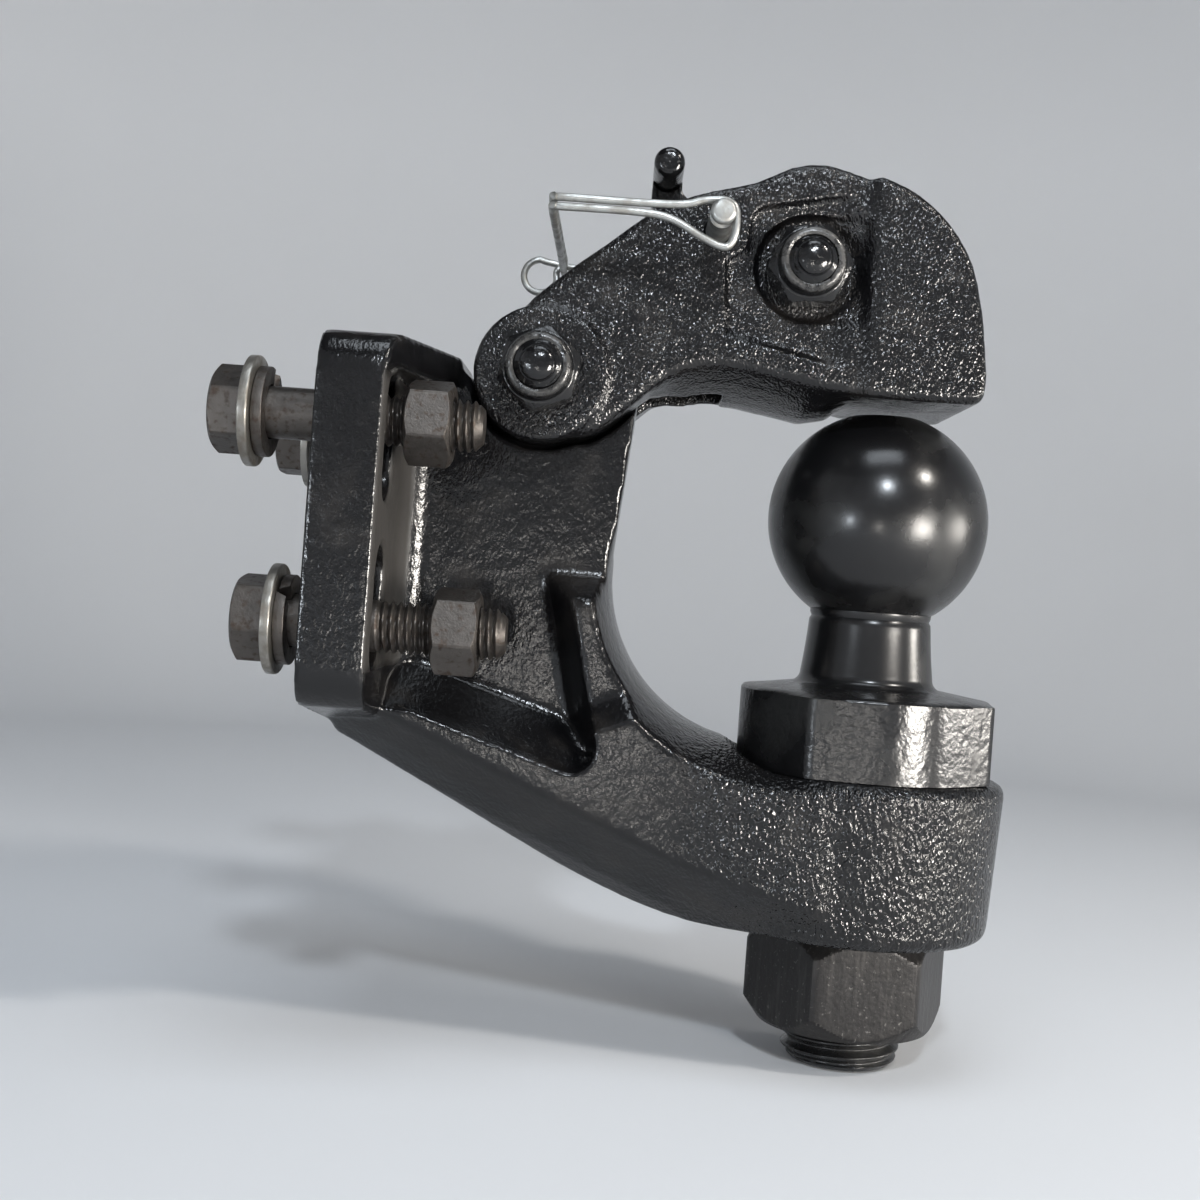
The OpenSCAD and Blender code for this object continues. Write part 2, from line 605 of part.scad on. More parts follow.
// Hook body: plate, web with the pivot tongue and horn, keeled lower arm with a finger up the throat, and boss
web_top = plate_h / 2;
web_low = -plate_h / 2;
throat_top = [pivot_x + 25, pivot_z - 4.5];
throat_mid = [throat_x - throat_r - 0.3, throat_z + 5.2];
web_outline = [[cut, web_low], [cut, web_top], [plate_t + plate_cove, web_top], [pivot_x - ear_r, pivot_z - 2],
    pivot, throat_top, throat_mid, [throat_x - 30, seat_z - 4], [pivot_x, seat_z - 6]];
horn = [[pivot_x, pivot_z], [pivot_x + 13, horn_z], [throat_top.x + 1.5, horn_z], throat_top,
    [pivot_x, pivot_z - 9]];

module web() {
    across(tongue_t) polygon(web_outline);
    across(tongue_t) polygon(horn);
    cross_bar(pivot, 2 * tongue_r, -tongue_t / 2, tongue_t / 2);
    difference() {
        across(web_t) polygon(web_outline);
        cross_bar(pivot, 2 * ear_room, -far, far);
        across(far) polygon(inset(jaw_outline, -1));
    }
}

module plate() {
    half = plate_w / 2;
    cove_y = web_t / 2 + plate_cove;
    round_y = half - plate_corner;
    round_z = plate_h / 2 - plate_corner;
    brow_z = bolt_z + hex_af / sqrt(3) + 1.2;
    intersection() {
        union() {
            translate([0, 0, -far]) linear_extrude(2 * far) polygon(concat(
                [[0, -half], [plate_t, -half]],
                arc([plate_t + plate_cove, -cove_y], plate_cove, 180, 90, 6),
                arc([plate_t + plate_cove, cove_y], plate_cove, 270, 180, 6),
                [[plate_t, half], [0, half]]));
            translate([0, 0, brow_z]) linear_extrude(far) polygon([[cut, -half], [plate_t, -half],
                [plate_t + brow_out, -web_t / 2], [plate_t + brow_out, web_t / 2], [plate_t, half], [cut, half]]);
        }
        along(far) polygon(concat(
            arc([round_y, round_z], plate_corner, 0, 90), arc([-round_y, round_z], plate_corner, 90, 180),
            arc([-round_y, -round_z], plate_corner, 180, 250), [[0, -plate_h / 2 - plate_vee]],
            arc([round_y, -round_z], plate_corner, 290, 360)));
    }
}

// Arm: a side profile with the finger, narrowed to the keel below and widened to the boss in front
ridge = [plate_t + 6.4, web_low - 3.5];
pocket = [throat_x - 48, seat_z - 2.5];
finger_r = 3.7;
flank_low = pocket + [4.6, 7];
finger = [throat_x - 47.4, throat_z - 10.9];
finger_back = 195;
arm_outline = concat(
    [[cut, web_low], [plate_t + 7, web_low + 0.5], pocket - [4, -0.6], pocket, pocket + [3.6, 2.6], flank_low,
        pocket + [2.6, 15]],
    arc(finger, finger_r, finger_back, 40, 6),
    [[throat_x - 30, throat_z - 15], [throat_x + 10, throat_z - 30], [ball_x, seat_z], [ball_x, boss_low]],
    through([[throat_x + 2, boss_low], [throat_x - 14, boss_low], [throat_x - 30, boss_low + 3],
        [throat_x - 52, boss_low + 12], [throat_x - 84, boss_low + 29.5], [plate_t - 13, web_low - plate_vee]], 2));
keel_steps = 8;
boss_core = boss_low_r - boss_rim;
shoulder = [14, boss_r - 1.6];

module arm() {
    reach = arm_w;
    difference() {
        arm_block(reach);
        finger_ramp();
    }
    ledge();
    finger_flanks();
}

// Flanks of the fingers, spread towards the web: a slope behind and a slope above, which meet in a hip
flank_step = [0.8, 0.5];
module flank_profile(low) {
    side = finger_w / 2 - flank_step[0];
    polygon([[-side, low], [-side, flank_step[1]], [-web_t / 2, finger_spread], [web_t / 2, finger_spread],
        [side, flank_step[1]], [side, low]]);
}

module finger_flanks() {
    run = finger + finger_r * [cos(finger_back), sin(finger_back)] - flank_low;
    top = finger.y + finger_r;
    foot = 8;
    intersection() {
        translate([flank_low.x, 0, flank_low.y]) rotate([0, -atan2(run.y, run.x), 0]) translate([-foot, 0, 0])
            along(norm(run) + foot + 2 * finger_spread) flank_profile(-arm_w);
        translate([finger.x - 3 * finger_spread, 0, top]) along(5 * finger_spread) flank_profile(pocket.y - top - 1);
    }
}

// Where the fingers rise out of the arm: they stand back from its sides, behind a slope of 45 degrees
ramp = [throat_x - 57, seat_z + 2.8];
ramp_turn = 22.5;
module finger_ramp() {
    back = (arm_w - finger_w) / 2;
    for (side = [-1, 1]) translate([ramp.x, 0, ramp.y]) rotate([0, -ramp_turn, 0]) along(far)
        polygon([[side * finger_w / 2, back], [side * finger_w / 2, far], [side * far, far],
            [side * far, back + finger_w / 2 - far]]);
}

module arm_block(reach) {
    intersection() {
        across(far) polygon(arm_outline);
        translate([ridge.x, 0, ridge.y]) rotate([0, arm_slope, 0]) translate([-far / 2, 0, 0]) along(2 * far)
            polygon(concat([[reach, far], [-reach, far]],
                [for (i = [-keel_steps:keel_steps]) let (y = reach * i / keel_steps)
                    [y, keel_depth * (pow(abs(2 * y / arm_w), 1.6) - 1)]]));
        translate([0, 0, -far]) linear_extrude(2 * far) polygon([[0, -arm_w / 2], [throat_x - 20, -arm_w / 2],
            [ball_x - shoulder.x, -shoulder.y], [ball_x, -boss_core], [ball_x, boss_core],
            [ball_x - shoulder.x, shoulder.y], [throat_x - 20, arm_w / 2], [0, arm_w / 2]]);
    }
}

// Sloping ledge between the top of the arm and the web
ledge_rise = 10;
module ledge() {
    from = arm_outline[1];
    to = pocket;
    translate([from.x, 0, from.y]) rotate([0, -atan2(to.y - from.y, to.x - from.x), 0])
        translate([-ledge_rise, 0, 0]) along(norm(to - from) + ledge_rise)
            polygon([[-arm_w / 2 + 2, -cut], [-web_t / 2, ledge_rise], [web_t / 2, ledge_rise],
                [arm_w / 2 - 2, -cut]]);
}

module boss() {
    translate([ball_x, 0, 0]) rotate_extrude($fn = 96) polygon(concat(
        [[0, boss_low]],
        arc([boss_low_r - boss_rim, boss_low + boss_rim], boss_rim, -90, 0, 4),
        arc([boss_r - boss_rim, seat_z - boss_rim], boss_rim, 0, 90, 4),
        [[0, seat_z]]));
}

// What the throat takes away: a round spool, wider towards the sides of the hook
spool_steps = 6;
module throat_spool() {
    translate([throat_x, 0, throat_z]) rotate([90, 0, 0]) rotate_extrude($fn = 96) polygon(concat(
        [[0, -boss_r - cut]],
        [for (i = [-spool_steps:spool_steps]) let (y = (boss_r + cut) * i / spool_steps)
            [throat_r + throat_crown * pow(2 * y / arm_w, 2), y]],
        [[0, boss_r + cut]]));
}

module slot() {
    run = slot_l - slot_w;
    for (end = [-1, 1]) translate([-cut, 0, end * run / 2]) rotate([0, 90, 0]) cylinder(d = slot_w, h = far / 3);
    translate([-cut, -slot_w / 2, -run / 2]) cube([far / 3, slot_w, run]);
}

flange_room = flange_af / 2 / cos(22.5) + 1;
module hook_body() color(black) difference() {
    union() {
        plate();
        difference() {
            union() {
                web();
                arm();
                boss();
            }
            throat_spool();
            translate([ball_x, 0, seat_z]) cylinder(r = flange_room, h = far);
        }
    }
    for (y = [-1, 1], z = [-1, 1]) translate([0, y * slot_span_y / 2, z * slot_span_z / 2]) slot();
    cross_bar(pivot, bolt_d + 2 * run_fit, -far, far);
    translate([ball_x, 0, boss_low - cut]) cylinder(r = shank_d / 2 + seat_fit, h = far / 2);
}

hook_body();
upper_jaw();
jaw_pivot_bolt();
jaw_pivot_nut();
lock_lever();
lock_handle();
lock_pivot_bolt();
lock_pivot_nut();
lock_spring();
safety_pin();
keeper_wire();
hitch_ball();
ball_nut();
for (i = [1:4]) {
    mount_bolt(i);
    flat_washer(i);
    lock_washer(i);
    mount_nut(i);
}
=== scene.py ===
import json
import math

import bmesh
import bpy
import numpy as np
from mathutils import Matrix, Vector


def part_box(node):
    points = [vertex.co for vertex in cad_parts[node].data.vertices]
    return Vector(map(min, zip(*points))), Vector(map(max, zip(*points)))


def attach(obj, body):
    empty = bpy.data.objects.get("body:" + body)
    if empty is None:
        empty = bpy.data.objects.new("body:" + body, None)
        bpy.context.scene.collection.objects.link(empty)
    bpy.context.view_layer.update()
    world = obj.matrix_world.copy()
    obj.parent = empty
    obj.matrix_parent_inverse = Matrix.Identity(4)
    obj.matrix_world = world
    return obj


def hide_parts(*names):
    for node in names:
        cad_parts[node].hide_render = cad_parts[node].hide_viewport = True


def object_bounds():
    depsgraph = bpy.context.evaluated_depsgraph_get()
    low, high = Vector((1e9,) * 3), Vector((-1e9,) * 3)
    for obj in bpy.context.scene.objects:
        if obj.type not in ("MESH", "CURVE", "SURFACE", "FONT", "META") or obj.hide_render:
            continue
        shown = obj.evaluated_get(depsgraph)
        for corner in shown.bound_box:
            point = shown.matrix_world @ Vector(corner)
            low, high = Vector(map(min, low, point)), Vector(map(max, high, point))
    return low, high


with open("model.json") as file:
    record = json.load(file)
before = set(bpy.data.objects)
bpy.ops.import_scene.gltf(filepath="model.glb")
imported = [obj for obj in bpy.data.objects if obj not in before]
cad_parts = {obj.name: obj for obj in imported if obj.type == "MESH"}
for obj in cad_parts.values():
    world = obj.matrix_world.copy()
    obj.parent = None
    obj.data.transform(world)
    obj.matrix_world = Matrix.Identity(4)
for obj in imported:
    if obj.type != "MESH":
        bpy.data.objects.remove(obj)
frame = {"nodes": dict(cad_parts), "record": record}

cad_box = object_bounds()
record = frame["record"]

# Camera. It stands square to the hook's near side, level with the throat and rolled a little, so that the
# mount plate is seen from behind its edge and the boss from just above its rim.
PHOTO_SIDE = 1200
FOCAL_LENGTH = 1551
OPTICAL_AXIS = (620, 582)
CAMERA_PLACE = (0.0748, -0.420, -0.010)
CAMERA_ROLL = math.radians(4.2)

camera = bpy.data.objects.new("camera", bpy.data.cameras.new("camera"))
camera.data.sensor_width = 36
camera.data.lens = FOCAL_LENGTH / PHOTO_SIDE * camera.data.sensor_width
camera.data.shift_x = 0.5 - OPTICAL_AXIS[0] / PHOTO_SIDE
camera.data.shift_y = OPTICAL_AXIS[1] / PHOTO_SIDE - 0.5
camera.data.clip_start = 0.01
camera.matrix_world = Matrix.Translation(CAMERA_PLACE) @ Matrix((
    (math.cos(CAMERA_ROLL), -math.sin(CAMERA_ROLL), 0, 0),
    (0, 0, -1, 0),
    (math.sin(CAMERA_ROLL), math.cos(CAMERA_ROLL), 0, 0),
    (0, 0, 0, 1)))
bpy.context.collection.objects.link(camera)
bpy.context.scene.camera = camera
bpy.context.scene.view_settings.view_transform = "Standard"

# Floor and backdrop. One pale sheet of painted board: flat under the hook, curved up behind it and all
# round, so that no edge or corner of it shows.
FLOOR_PALE = (0.66, 0.675, 0.70, 1)
FLOOR_CLOUD = (0.6402, 0.65475, 0.679, 1)
FLOOR_GAP = 0.0006
FLOOR_FLAT = 0.75
FLOOR_CURVE = 0.6
FLOOR_RUN = 2.5
FLOOR_SIDES = 96


def feed(slot, value):
    """Set a socket to a number or colour, or link a Value to it."""
    if isinstance(value, Value):
        slot.id_data.links.new(value.socket, slot)
    else:
        slot.default_value = value


class Value:
    """What one socket gives. Arithmetic on it adds Math nodes to its material."""

    def __init__(self, socket):
        self.socket = socket

    def other(self, output):
        return Value(self.socket.node.outputs[output])

    def combine(self, operation, second, swapped=False):
        node = self.socket.id_data.nodes.new("ShaderNodeMath")
        node.operation = operation
        for slot, side in zip(node.inputs, (second, self) if swapped else (self, second)):
            feed(slot, side)
        return Value(node.outputs[0])

    def __add__(self, second):
        return self.combine("ADD", second)

    def __radd__(self, first):
        return self.combine("ADD", first, True)

    def __sub__(self, second):
        return self.combine("SUBTRACT", second)

    def __rsub__(self, first):
        return self.combine("SUBTRACT", first, True)

    def __mul__(self, second):
        return self.combine("MULTIPLY", second)

    def __rmul__(self, first):
        return self.combine("MULTIPLY", first, True)

    def __pow__(self, second):
        return self.combine("POWER", second)


class Finish:
    """A material: one shader and the nodes that feed it."""

    def __init__(self, name, **sockets):
        self.material = bpy.data.materials.new(name)
        self.material.use_nodes = True
        self.tree = self.material.node_tree
        self.shader = self.tree.nodes["Principled BSDF"]
        self.place = self.node("TexCoord").other("Object")
        self.set(**sockets)

    def set(self, **sockets):
        for name, value in sockets.items():
            feed(self.shader.inputs[name.replace("_", " ")], value)

    def node(self, kind, settings=None, sockets=None, output=0):
        """Add any node: its settings first, then what its sockets hold."""
        node = self.tree.nodes.new("ShaderNode" + kind)
        for name, value in (settings or {}).items():
            setattr(node, name, value)
        for name, value in (sockets or {}).items():
            feed(node.inputs[name], value)
        return Value(node.outputs[output])

    def noise(self, size, detail=2.0, place=None):
        """Cloudy noise from 0 to 1 whose spots are about size metres wide."""
        return self.node("TexNoise", sockets={
            "Vector": place or self.place, "Scale": 1 / size, "Detail": detail})

    def stretched(self, scale, turn=(0, 0, 0)):
        """The place scaled and turned, for noise whose spots are long."""
        return self.node("Mapping", sockets={"Vector": self.place, "Rotation": turn, "Scale": scale})

    def split(self, vector=None):
        """X of a vector, or of the place if none is given. Y and Z are the same node's other outputs."""
        return self.node("SeparateXYZ", sockets={"Vector": vector or self.place})

    def step(self, value, low, high):
        """Smooth step: 0 where value is below low, 1 where it is above high."""
        return self.node("MapRange", {"interpolation_type": "SMOOTHSTEP"},
                         {"Value": value, "From Min": low, "From Max": high})

    def mix(self, mask, first, second):
        """Colour that goes from first to second as mask goes from 0 to 1."""
        return self.node("Mix", {"data_type": "RGBA"}, {0: mask, 6: first, 7: second}, 2)

    def bump(self, height, depth):
        """Normal of a skin whose height goes from 0 to depth metres."""
        return self.node("Bump", sockets={"Height": height, "Distance": depth, "Strength": 1.0})


def skin(name, points, around=True, along=False, crease=35):
    """Object whose quads join the neighbours in a grid of points. around joins the last column to the first
    and along the last row to the first. Equal points are merged and all faces turned outwards."""
    rows, columns = points.shape[:2]
    index = np.arange(rows * columns).reshape(rows, columns)
    if around:
        index = np.hstack((index, index[:, :1]))
    if along:
        index = np.vstack((index, index[:1]))
    quads = np.stack((index[:-1, :-1], index[:-1, 1:], index[1:, 1:], index[1:, :-1]), axis=-1)
    mesh = bpy.data.meshes.new(name)
    mesh.from_pydata(points.reshape(-1, 3).tolist(), [], quads.reshape(-1, 4).tolist())
    whole = bmesh.new()
    whole.from_mesh(mesh)
    bmesh.ops.remove_doubles(whole, verts=whole.verts, dist=1e-7)
    bmesh.ops.recalc_face_normals(whole, faces=whole.faces)
    whole.to_mesh(mesh)
    whole.free()
    mesh.shade_smooth()
    mesh.set_sharp_from_angle(angle=math.radians(crease))
    piece = bpy.data.objects.new(name, mesh)
    bpy.context.collection.objects.link(piece)
    return piece


def sweep_up(turn, run):
    """Bowl-shaped sheet: at each angle the run goes flat from the middle, round a quarter circle and up."""
    bend = np.clip((run - FLOOR_FLAT) / FLOOR_CURVE, 0, math.pi / 2)
    out = np.minimum(run, FLOOR_FLAT) + FLOOR_CURVE * np.sin(bend)
    up = FLOOR_CURVE * (1 - np.cos(bend)) + np.maximum(run - FLOOR_FLAT - FLOOR_CURVE * math.pi / 2, 0)
    return np.stack((out * np.cos(turn), out * np.sin(turn), up), axis=-1)


def circle(sides):
    """Angles of points that are spread evenly round a circle."""
    return np.linspace(0, 2 * math.pi, sides, endpoint=False)


def centre(box):
    """Middle of a box that is given by its two corners."""
    return [(low + high) / 2 for low, high in zip(*box)]


middle = centre(cad_box)
floor_bend = np.linspace(FLOOR_FLAT, FLOOR_FLAT + FLOOR_CURVE * math.pi / 2, 24)
floor_points = sweep_up(*np.meshgrid(circle(FLOOR_SIDES), np.concatenate(([0], floor_bend, [FLOOR_RUN]))))
floor = skin("floor", floor_points + (middle[0], middle[1], cad_box[0][2] - FLOOR_GAP))
floor.data.flip_normals()
board = Finish("pale_board", Roughness=0.8)
board.set(Base_Color=board.mix(board.noise(0.3, 3), FLOOR_PALE, FLOOR_CLOUD))
floor.data.materials.append(board.material)

# Light. Soft boxes stand in front of the hook, above it and to its right and left, with a very small one low
# in front, so that its black skin shows glints and pale edges. A weak even light comes from all round.
WARM = (1.0, 0.95, 0.88)
COOL = (0.86, 0.93, 1.0)
LAMPS = {
    "front_box": ((0.14, -0.82, 0.58), 0.08, 3.9, COOL),
    "right_box": ((0.72, -0.47, 0.68), 0.09, 4.2, WARM),
    "low_box": ((0.62, -0.61, -0.07), 0.18, 8.5, WARM),
    "near_box": ((0.045, -0.83, -0.105), 0.05, 0.3, WARM),
    "side_box": ((1.05, -0.13, -0.02), 0.20, 5.0, WARM),
    "left_box": ((-0.50, -0.86, -0.06), 0.09, 2.8, COOL),
    "top_box": ((0.10, -0.25, 0.95), 0.50, 3.6, COOL),
}
ALL_ROUND = 0.04
ALL_ROUND_COLOUR = (0.93, 0.96, 1.0, 1)

for lamp_name, (lamp_place, lamp_side, lamp_power, lamp_colour) in LAMPS.items():
    lamp = bpy.data.objects.new(lamp_name, bpy.data.lights.new(lamp_name, "AREA"))
    lamp.data.size = lamp_side
    lamp.data.energy = lamp_power
    lamp.data.color = lamp_colour
    lamp.location = lamp_place
    lamp.rotation_euler = (Vector(lamp_place) - Vector(middle)).to_track_quat("Z", "Y").to_euler()
    bpy.context.collection.objects.link(lamp)
studio = bpy.data.worlds.new("studio")
studio.use_nodes = True
studio.node_tree.nodes["Background"].inputs["Color"].default_value = ALL_ROUND_COLOUR
studio.node_tree.nodes["Background"].inputs["Strength"].default_value = ALL_ROUND
bpy.context.scene.world = studio

# Hook body. One sand casting of ductile iron: mount plate, web, fingers, keeled arm and ball boss. Its
# corners are rounded by the mould, and its rough skin shows through a coat of gloss black enamel.
HOOK_FACE = 0.00100
HOOK_ROUNDING = 6
HOOK_WAVE = 0.0042
HOOK_WAVE_DEPTH = 0.000025
HOOK_GRAIN = 0.0010
HOOK_GRAIN_DEPTH = 0.00095
HOOK_SLANT = 0.6
BOSS_SKIN_X = (0.080, 0.125)
SLOT_FACE_X = (0.0185, 0.0205)
SLOT_FACE_Z = (0.033, 0.037)
ENAMEL_BLACK = (0.0040, 0.0040, 0.0045, 1)
ENAMEL_THIN = (0.011, 0.010, 0.0095, 1)
# Grey of the enamel's corners: worn paint, and also a painted highlight along the edges.
ENAMEL_WEAR_AND_SHEEN = (0.060, 0.057, 0.054, 1)
IRON_BARE = (0.022, 0.020, 0.018, 1)
GOLDEN_TURN = math.pi * (3 - math.sqrt(5))


def cast_copy(name, node, face, rounding):
    """Copy of a solid in small even faces, each point then moved towards the middle of its neighbours as
    often as rounding says: corners and inner edges come out round, as sand leaves them."""
    mesh = frame["nodes"][node].data.copy()
    whole = bmesh.new()
    whole.from_mesh(mesh)
    bmesh.ops.remove_doubles(whole, verts=whole.verts, dist=1e-6)
    whole.to_mesh(mesh)
    whole.free()
    rough = bpy.data.objects.new(name + "_rough", mesh)
    bpy.context.collection.objects.link(rough)
    remesh = rough.modifiers.new("even_faces", "REMESH")
    remesh.mode = "VOXEL"
    remesh.voxel_size = face
    smooth = rough.modifiers.new("rounding", "SMOOTH")
    smooth.iterations = rounding
    final = bpy.data.meshes.new_from_object(rough.evaluated_get(bpy.context.evaluated_depsgraph_get()))
    bpy.data.objects.remove(rough)
    final.name = name
    final.materials.clear()
    final.shade_smooth()
    piece = bpy.data.objects.new(name, final)
    bpy.context.collection.objects.link(piece)
    return piece


def sand_height(points, grain, waves=28):
    """Height of a sand-cast skin: the sum of plane waves about grain metres long, whose directions are
    spread over the sphere by the golden angle."""
    number = np.arange(waves)
    rise = 1 - 2 * (number + 0.5) / waves
    flat = np.sqrt(1 - rise ** 2)
    ways = np.stack((flat * np.cos(GOLDEN_TURN * number), flat * np.sin(GOLDEN_TURN * number), rise))
    lengths = grain * (0.65 + 0.7 * (number * 0.618 % 1))
    return np.sin(points @ ways * (2 * math.pi / lengths) + 1.7 * number ** 2).sum(axis=1) / math.sqrt(waves)


def roughen(piece, grain, depth):
    """Move each point along its normal by the sand height at that point."""
    mesh = piece.data
    points = np.empty(3 * len(mesh.vertices))
    normals = np.empty(3 * len(mesh.vertices))
    mesh.vertices.foreach_get("co", points)
    mesh.vertex_normals.foreach_get("vector", normals)
    points = points.reshape(-1, 3)
    points += depth * sand_height(points, grain)[:, None] * normals.reshape(-1, 3)
    mesh.vertices.foreach_set("co", points.ravel())
    mesh.update()


def ease(piece, low, high, times):
    """Smooth a casting further inside a box, and inside that box mirrored to the other side of the hook."""
    whole = bmesh.new()
    whole.from_mesh(piece.data)
    inside = [v for v in whole.verts if low[0] < v.co.x < high[0] and low[1] < abs(v.co.y) < high[1]
              and low[2] < v.co.z < high[2]]
    for _ in range(times):
        bmesh.ops.smooth_vert(whole, verts=inside, factor=0.5,
                              use_axis_x=True, use_axis_y=True, use_axis_z=True)
    whole.to_mesh(piece.data)
    whole.free()


def enamel(name, grain, depth, slant=0.0, loud=None, bare=None):
    """Gloss black enamel over a cast skin. Its bump holds blunt grains that lie at the angle slant, and a
    little grit. Paint is thin and brown in patches. Corners are made grey, which stands for worn paint and is
    also a painted highlight along the edges. loud is a mask of where the grains are coarse, and bare of where
    the skin is machined flat and holds little paint."""
    finish = Finish(name, Specular_IOR_Level=0.44)
    grains = finish.noise(grain, 1.0, finish.stretched((1, 0.8, 0.6), (0, slant, 0)))
    clouds = finish.noise(5 * grain, 2)
    grit = finish.noise(0.4 * grain, 1)
    height = grains + 0.4 * clouds
    if loud:
        height = height * loud(finish)
    plain = bare(finish) if bare else 0.0
    patches = finish.step(finish.noise(0.014, 4), 0.50, 0.72)
    corner = finish.node("NewGeometry").other("Pointiness")
    # Painted highlight and wear: sharp convex corners, in cloudy patches, are made grey. This stands for
    # rubbed paint and also for the glint along an edge.
    wear_and_sheen = finish.step(corner, 0.54, 0.62) * finish.step(clouds, 0.42, 0.62) * 0.3
    colour = finish.mix(patches, ENAMEL_BLACK, ENAMEL_THIN)
    finish.set(
        Base_Color=finish.mix(plain, finish.mix(wear_and_sheen, colour, ENAMEL_WEAR_AND_SHEEN), IRON_BARE),
        Roughness=0.13 + 0.08 * patches + 0.06 * grit + 0.10 * wear_and_sheen + 0.50 * plain,
        Normal=finish.bump((height + 0.04 * grit) * (1 - 0.9 * plain), depth))
    return finish.material


def boss_loud(finish):
    """1 on the boss and the arm beside it, where the grains are coarse, and much less towards the plate."""
    return 0.13 + 0.87 * finish.step(finish.split(), *BOSS_SKIN_X)


def slot_face(finish):
    """1 on the plate's machined front face between and round the slots, else 0."""
    place = finish.split()
    facing = finish.split(finish.node("NewGeometry").other("Normal"))
    inside = 1 - finish.step((place.other("Z") ** 2) ** 0.5, *SLOT_FACE_Z)
    return finish.step(facing, 0.5, 0.8) * inside * (1 - finish.step(place, *SLOT_FACE_X))


hook = cast_copy("cast_hook", "hook_body", HOOK_FACE, HOOK_ROUNDING)
roughen(hook, HOOK_WAVE, HOOK_WAVE_DEPTH)
hook_enamel = enamel("hook_enamel", HOOK_GRAIN, HOOK_GRAIN_DEPTH, HOOK_SLANT, boss_loud, slot_face)
hook.data.materials.append(hook_enamel)
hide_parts("hook_body")
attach(hook, "hook")

# Tow ball. One forging: a ball turned smooth, a neck, a flange with eight flats and four trimmed corners
# left as forged, and a threaded shank that goes down through the boss. All of it is black.
BALL_SIDES = 144
BALL_FLAT = math.radians(72)
NECK_TOP_R = 0.0162
NECK_LOW_R = 0.0177
NECK_FILLET = 0.003
BOSS_HIGH = 0.0415
FLANGE_ACROSS = 0.0665
FLANGE_TRIM = 0.0676
FLANGE_TURN = math.radians(-30)
FLANGE_THICK = 0.023
FLANGE_EDGE = 0.0007
SHANK_R = 0.031750 / 2
SHANK_PITCH = 0.0254 / 7
SHANK_PLAIN = 0.036
SHANK_TIP = 0.0022
BALL_BLACK = (0.005, 0.005, 0.0055, 1)
BALL_SMEAR = (0.013, 0.013, 0.013, 1)
UP = (0.0, 0.0, 1.0)
FORWARD = (1.0, 0.0, 0.0)


def about(place, axis, side, radius, turn, height):
    """Points at a radius, turn and height about an axis through place. Turn 0 points along side."""
    third = np.cross(axis, side)
    spoke = np.cos(turn)[..., None] * np.array(side) + np.sin(turn)[..., None] * third
    return np.array(place) + height[..., None] * np.array(axis) + radius[..., None] * spoke


def flats(turn, count, across):
    """Radius of a polygon: half its width across flats, over the cosine of the angle to the middle of the
    nearest flat."""
    step = 2 * math.pi / count
    return across / 2 / np.cos(turn % step - step / 2)


def soft_least(edge, *radii):
    """Least of several radii, with the corner between any two rounded over about edge."""
    return -edge * np.log(sum(np.exp(-radius / edge) for radius in radii))


def thread(height, turn, outer, pitch, depth):
    """Radius of a screw thread: a rounded vee that climbs one pitch in each turn."""
    phase = (height / pitch - turn / (2 * math.pi)) % 1
    return outer - depth * np.clip(1.3 * np.abs(2 * phase - 1) - 0.15, 0, 1)


ball_mount = next(mount for mount in record["mounts"] if mount["name"] == "tow_ball")
ball_place = np.array(ball_mount["pos_m"])
ball_r = ball_mount["dims"]["r_mm"] / 1000
shank_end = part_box("hitch_ball")[0][2]
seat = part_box("hook_body")[0][2] + BOSS_HIGH
flange_top = seat + FLANGE_THICK

ball_turn = circle(BALL_SIDES)
ball_angle = np.linspace(BALL_FLAT, math.asin(NECK_TOP_R / ball_r) - math.pi / 2, 72)
crown_flat = ball_r * math.cos(BALL_FLAT)
ball_rows = [(0, ball_r * math.sin(BALL_FLAT)), (0.9 * crown_flat, ball_r * math.sin(BALL_FLAT))]
ball_rows += list(zip(ball_r * np.cos(ball_angle), ball_r * np.sin(ball_angle)))
neck_height = np.linspace(ball_rows[-1][1], flange_top - ball_place[2] + NECK_FILLET, 20)
neck_down = np.linspace(0, 1, 20)
neck_groove = 0.0005 * np.exp(-((neck_down - 0.10) / 0.035) ** 2)
ball_rows += list(zip(NECK_TOP_R + (NECK_LOW_R - NECK_TOP_R) * neck_down ** 1.5 - neck_groove, neck_height))
ball_rows += [(NECK_LOW_R + NECK_FILLET * (1 - math.cos(a)),
               flange_top - ball_place[2] + NECK_FILLET * (1 - math.sin(a)))
              for a in np.linspace(0.2, math.pi / 2, 6)]
upper_rows = np.array(ball_rows)
upper_radius = np.meshgrid(ball_turn, upper_rows[:, 0])[1]
upper_high = np.meshgrid(ball_turn, upper_rows[:, 1] + ball_place[2])[1]

flange_drop = np.concatenate((np.linspace(0, 0.008, 18), np.linspace(0.009, FLANGE_THICK - 0.004, 8),
                              np.linspace(FLANGE_THICK - 0.0035, FLANGE_THICK, 10)))
flange_cone = np.interp(
    flange_drop, (0, 0.0015, 0.006, FLANGE_THICK - 0.003, FLANGE_THICK),
    (NECK_LOW_R + NECK_FILLET, FLANGE_ACROSS / 2 - 0.003, FLANGE_ACROSS, FLANGE_ACROSS, FLANGE_ACROSS / 2))
flange_turns, flange_limit = np.meshgrid(ball_turn, flange_cone)
flange_radius = soft_least(FLANGE_EDGE, flats(flange_turns - FLANGE_TURN, 8, FLANGE_ACROSS),
                           flats(flange_turns - FLANGE_TURN, 4, FLANGE_TRIM), flange_limit)
flange_high = np.meshgrid(ball_turn, flange_top - flange_drop)[1]

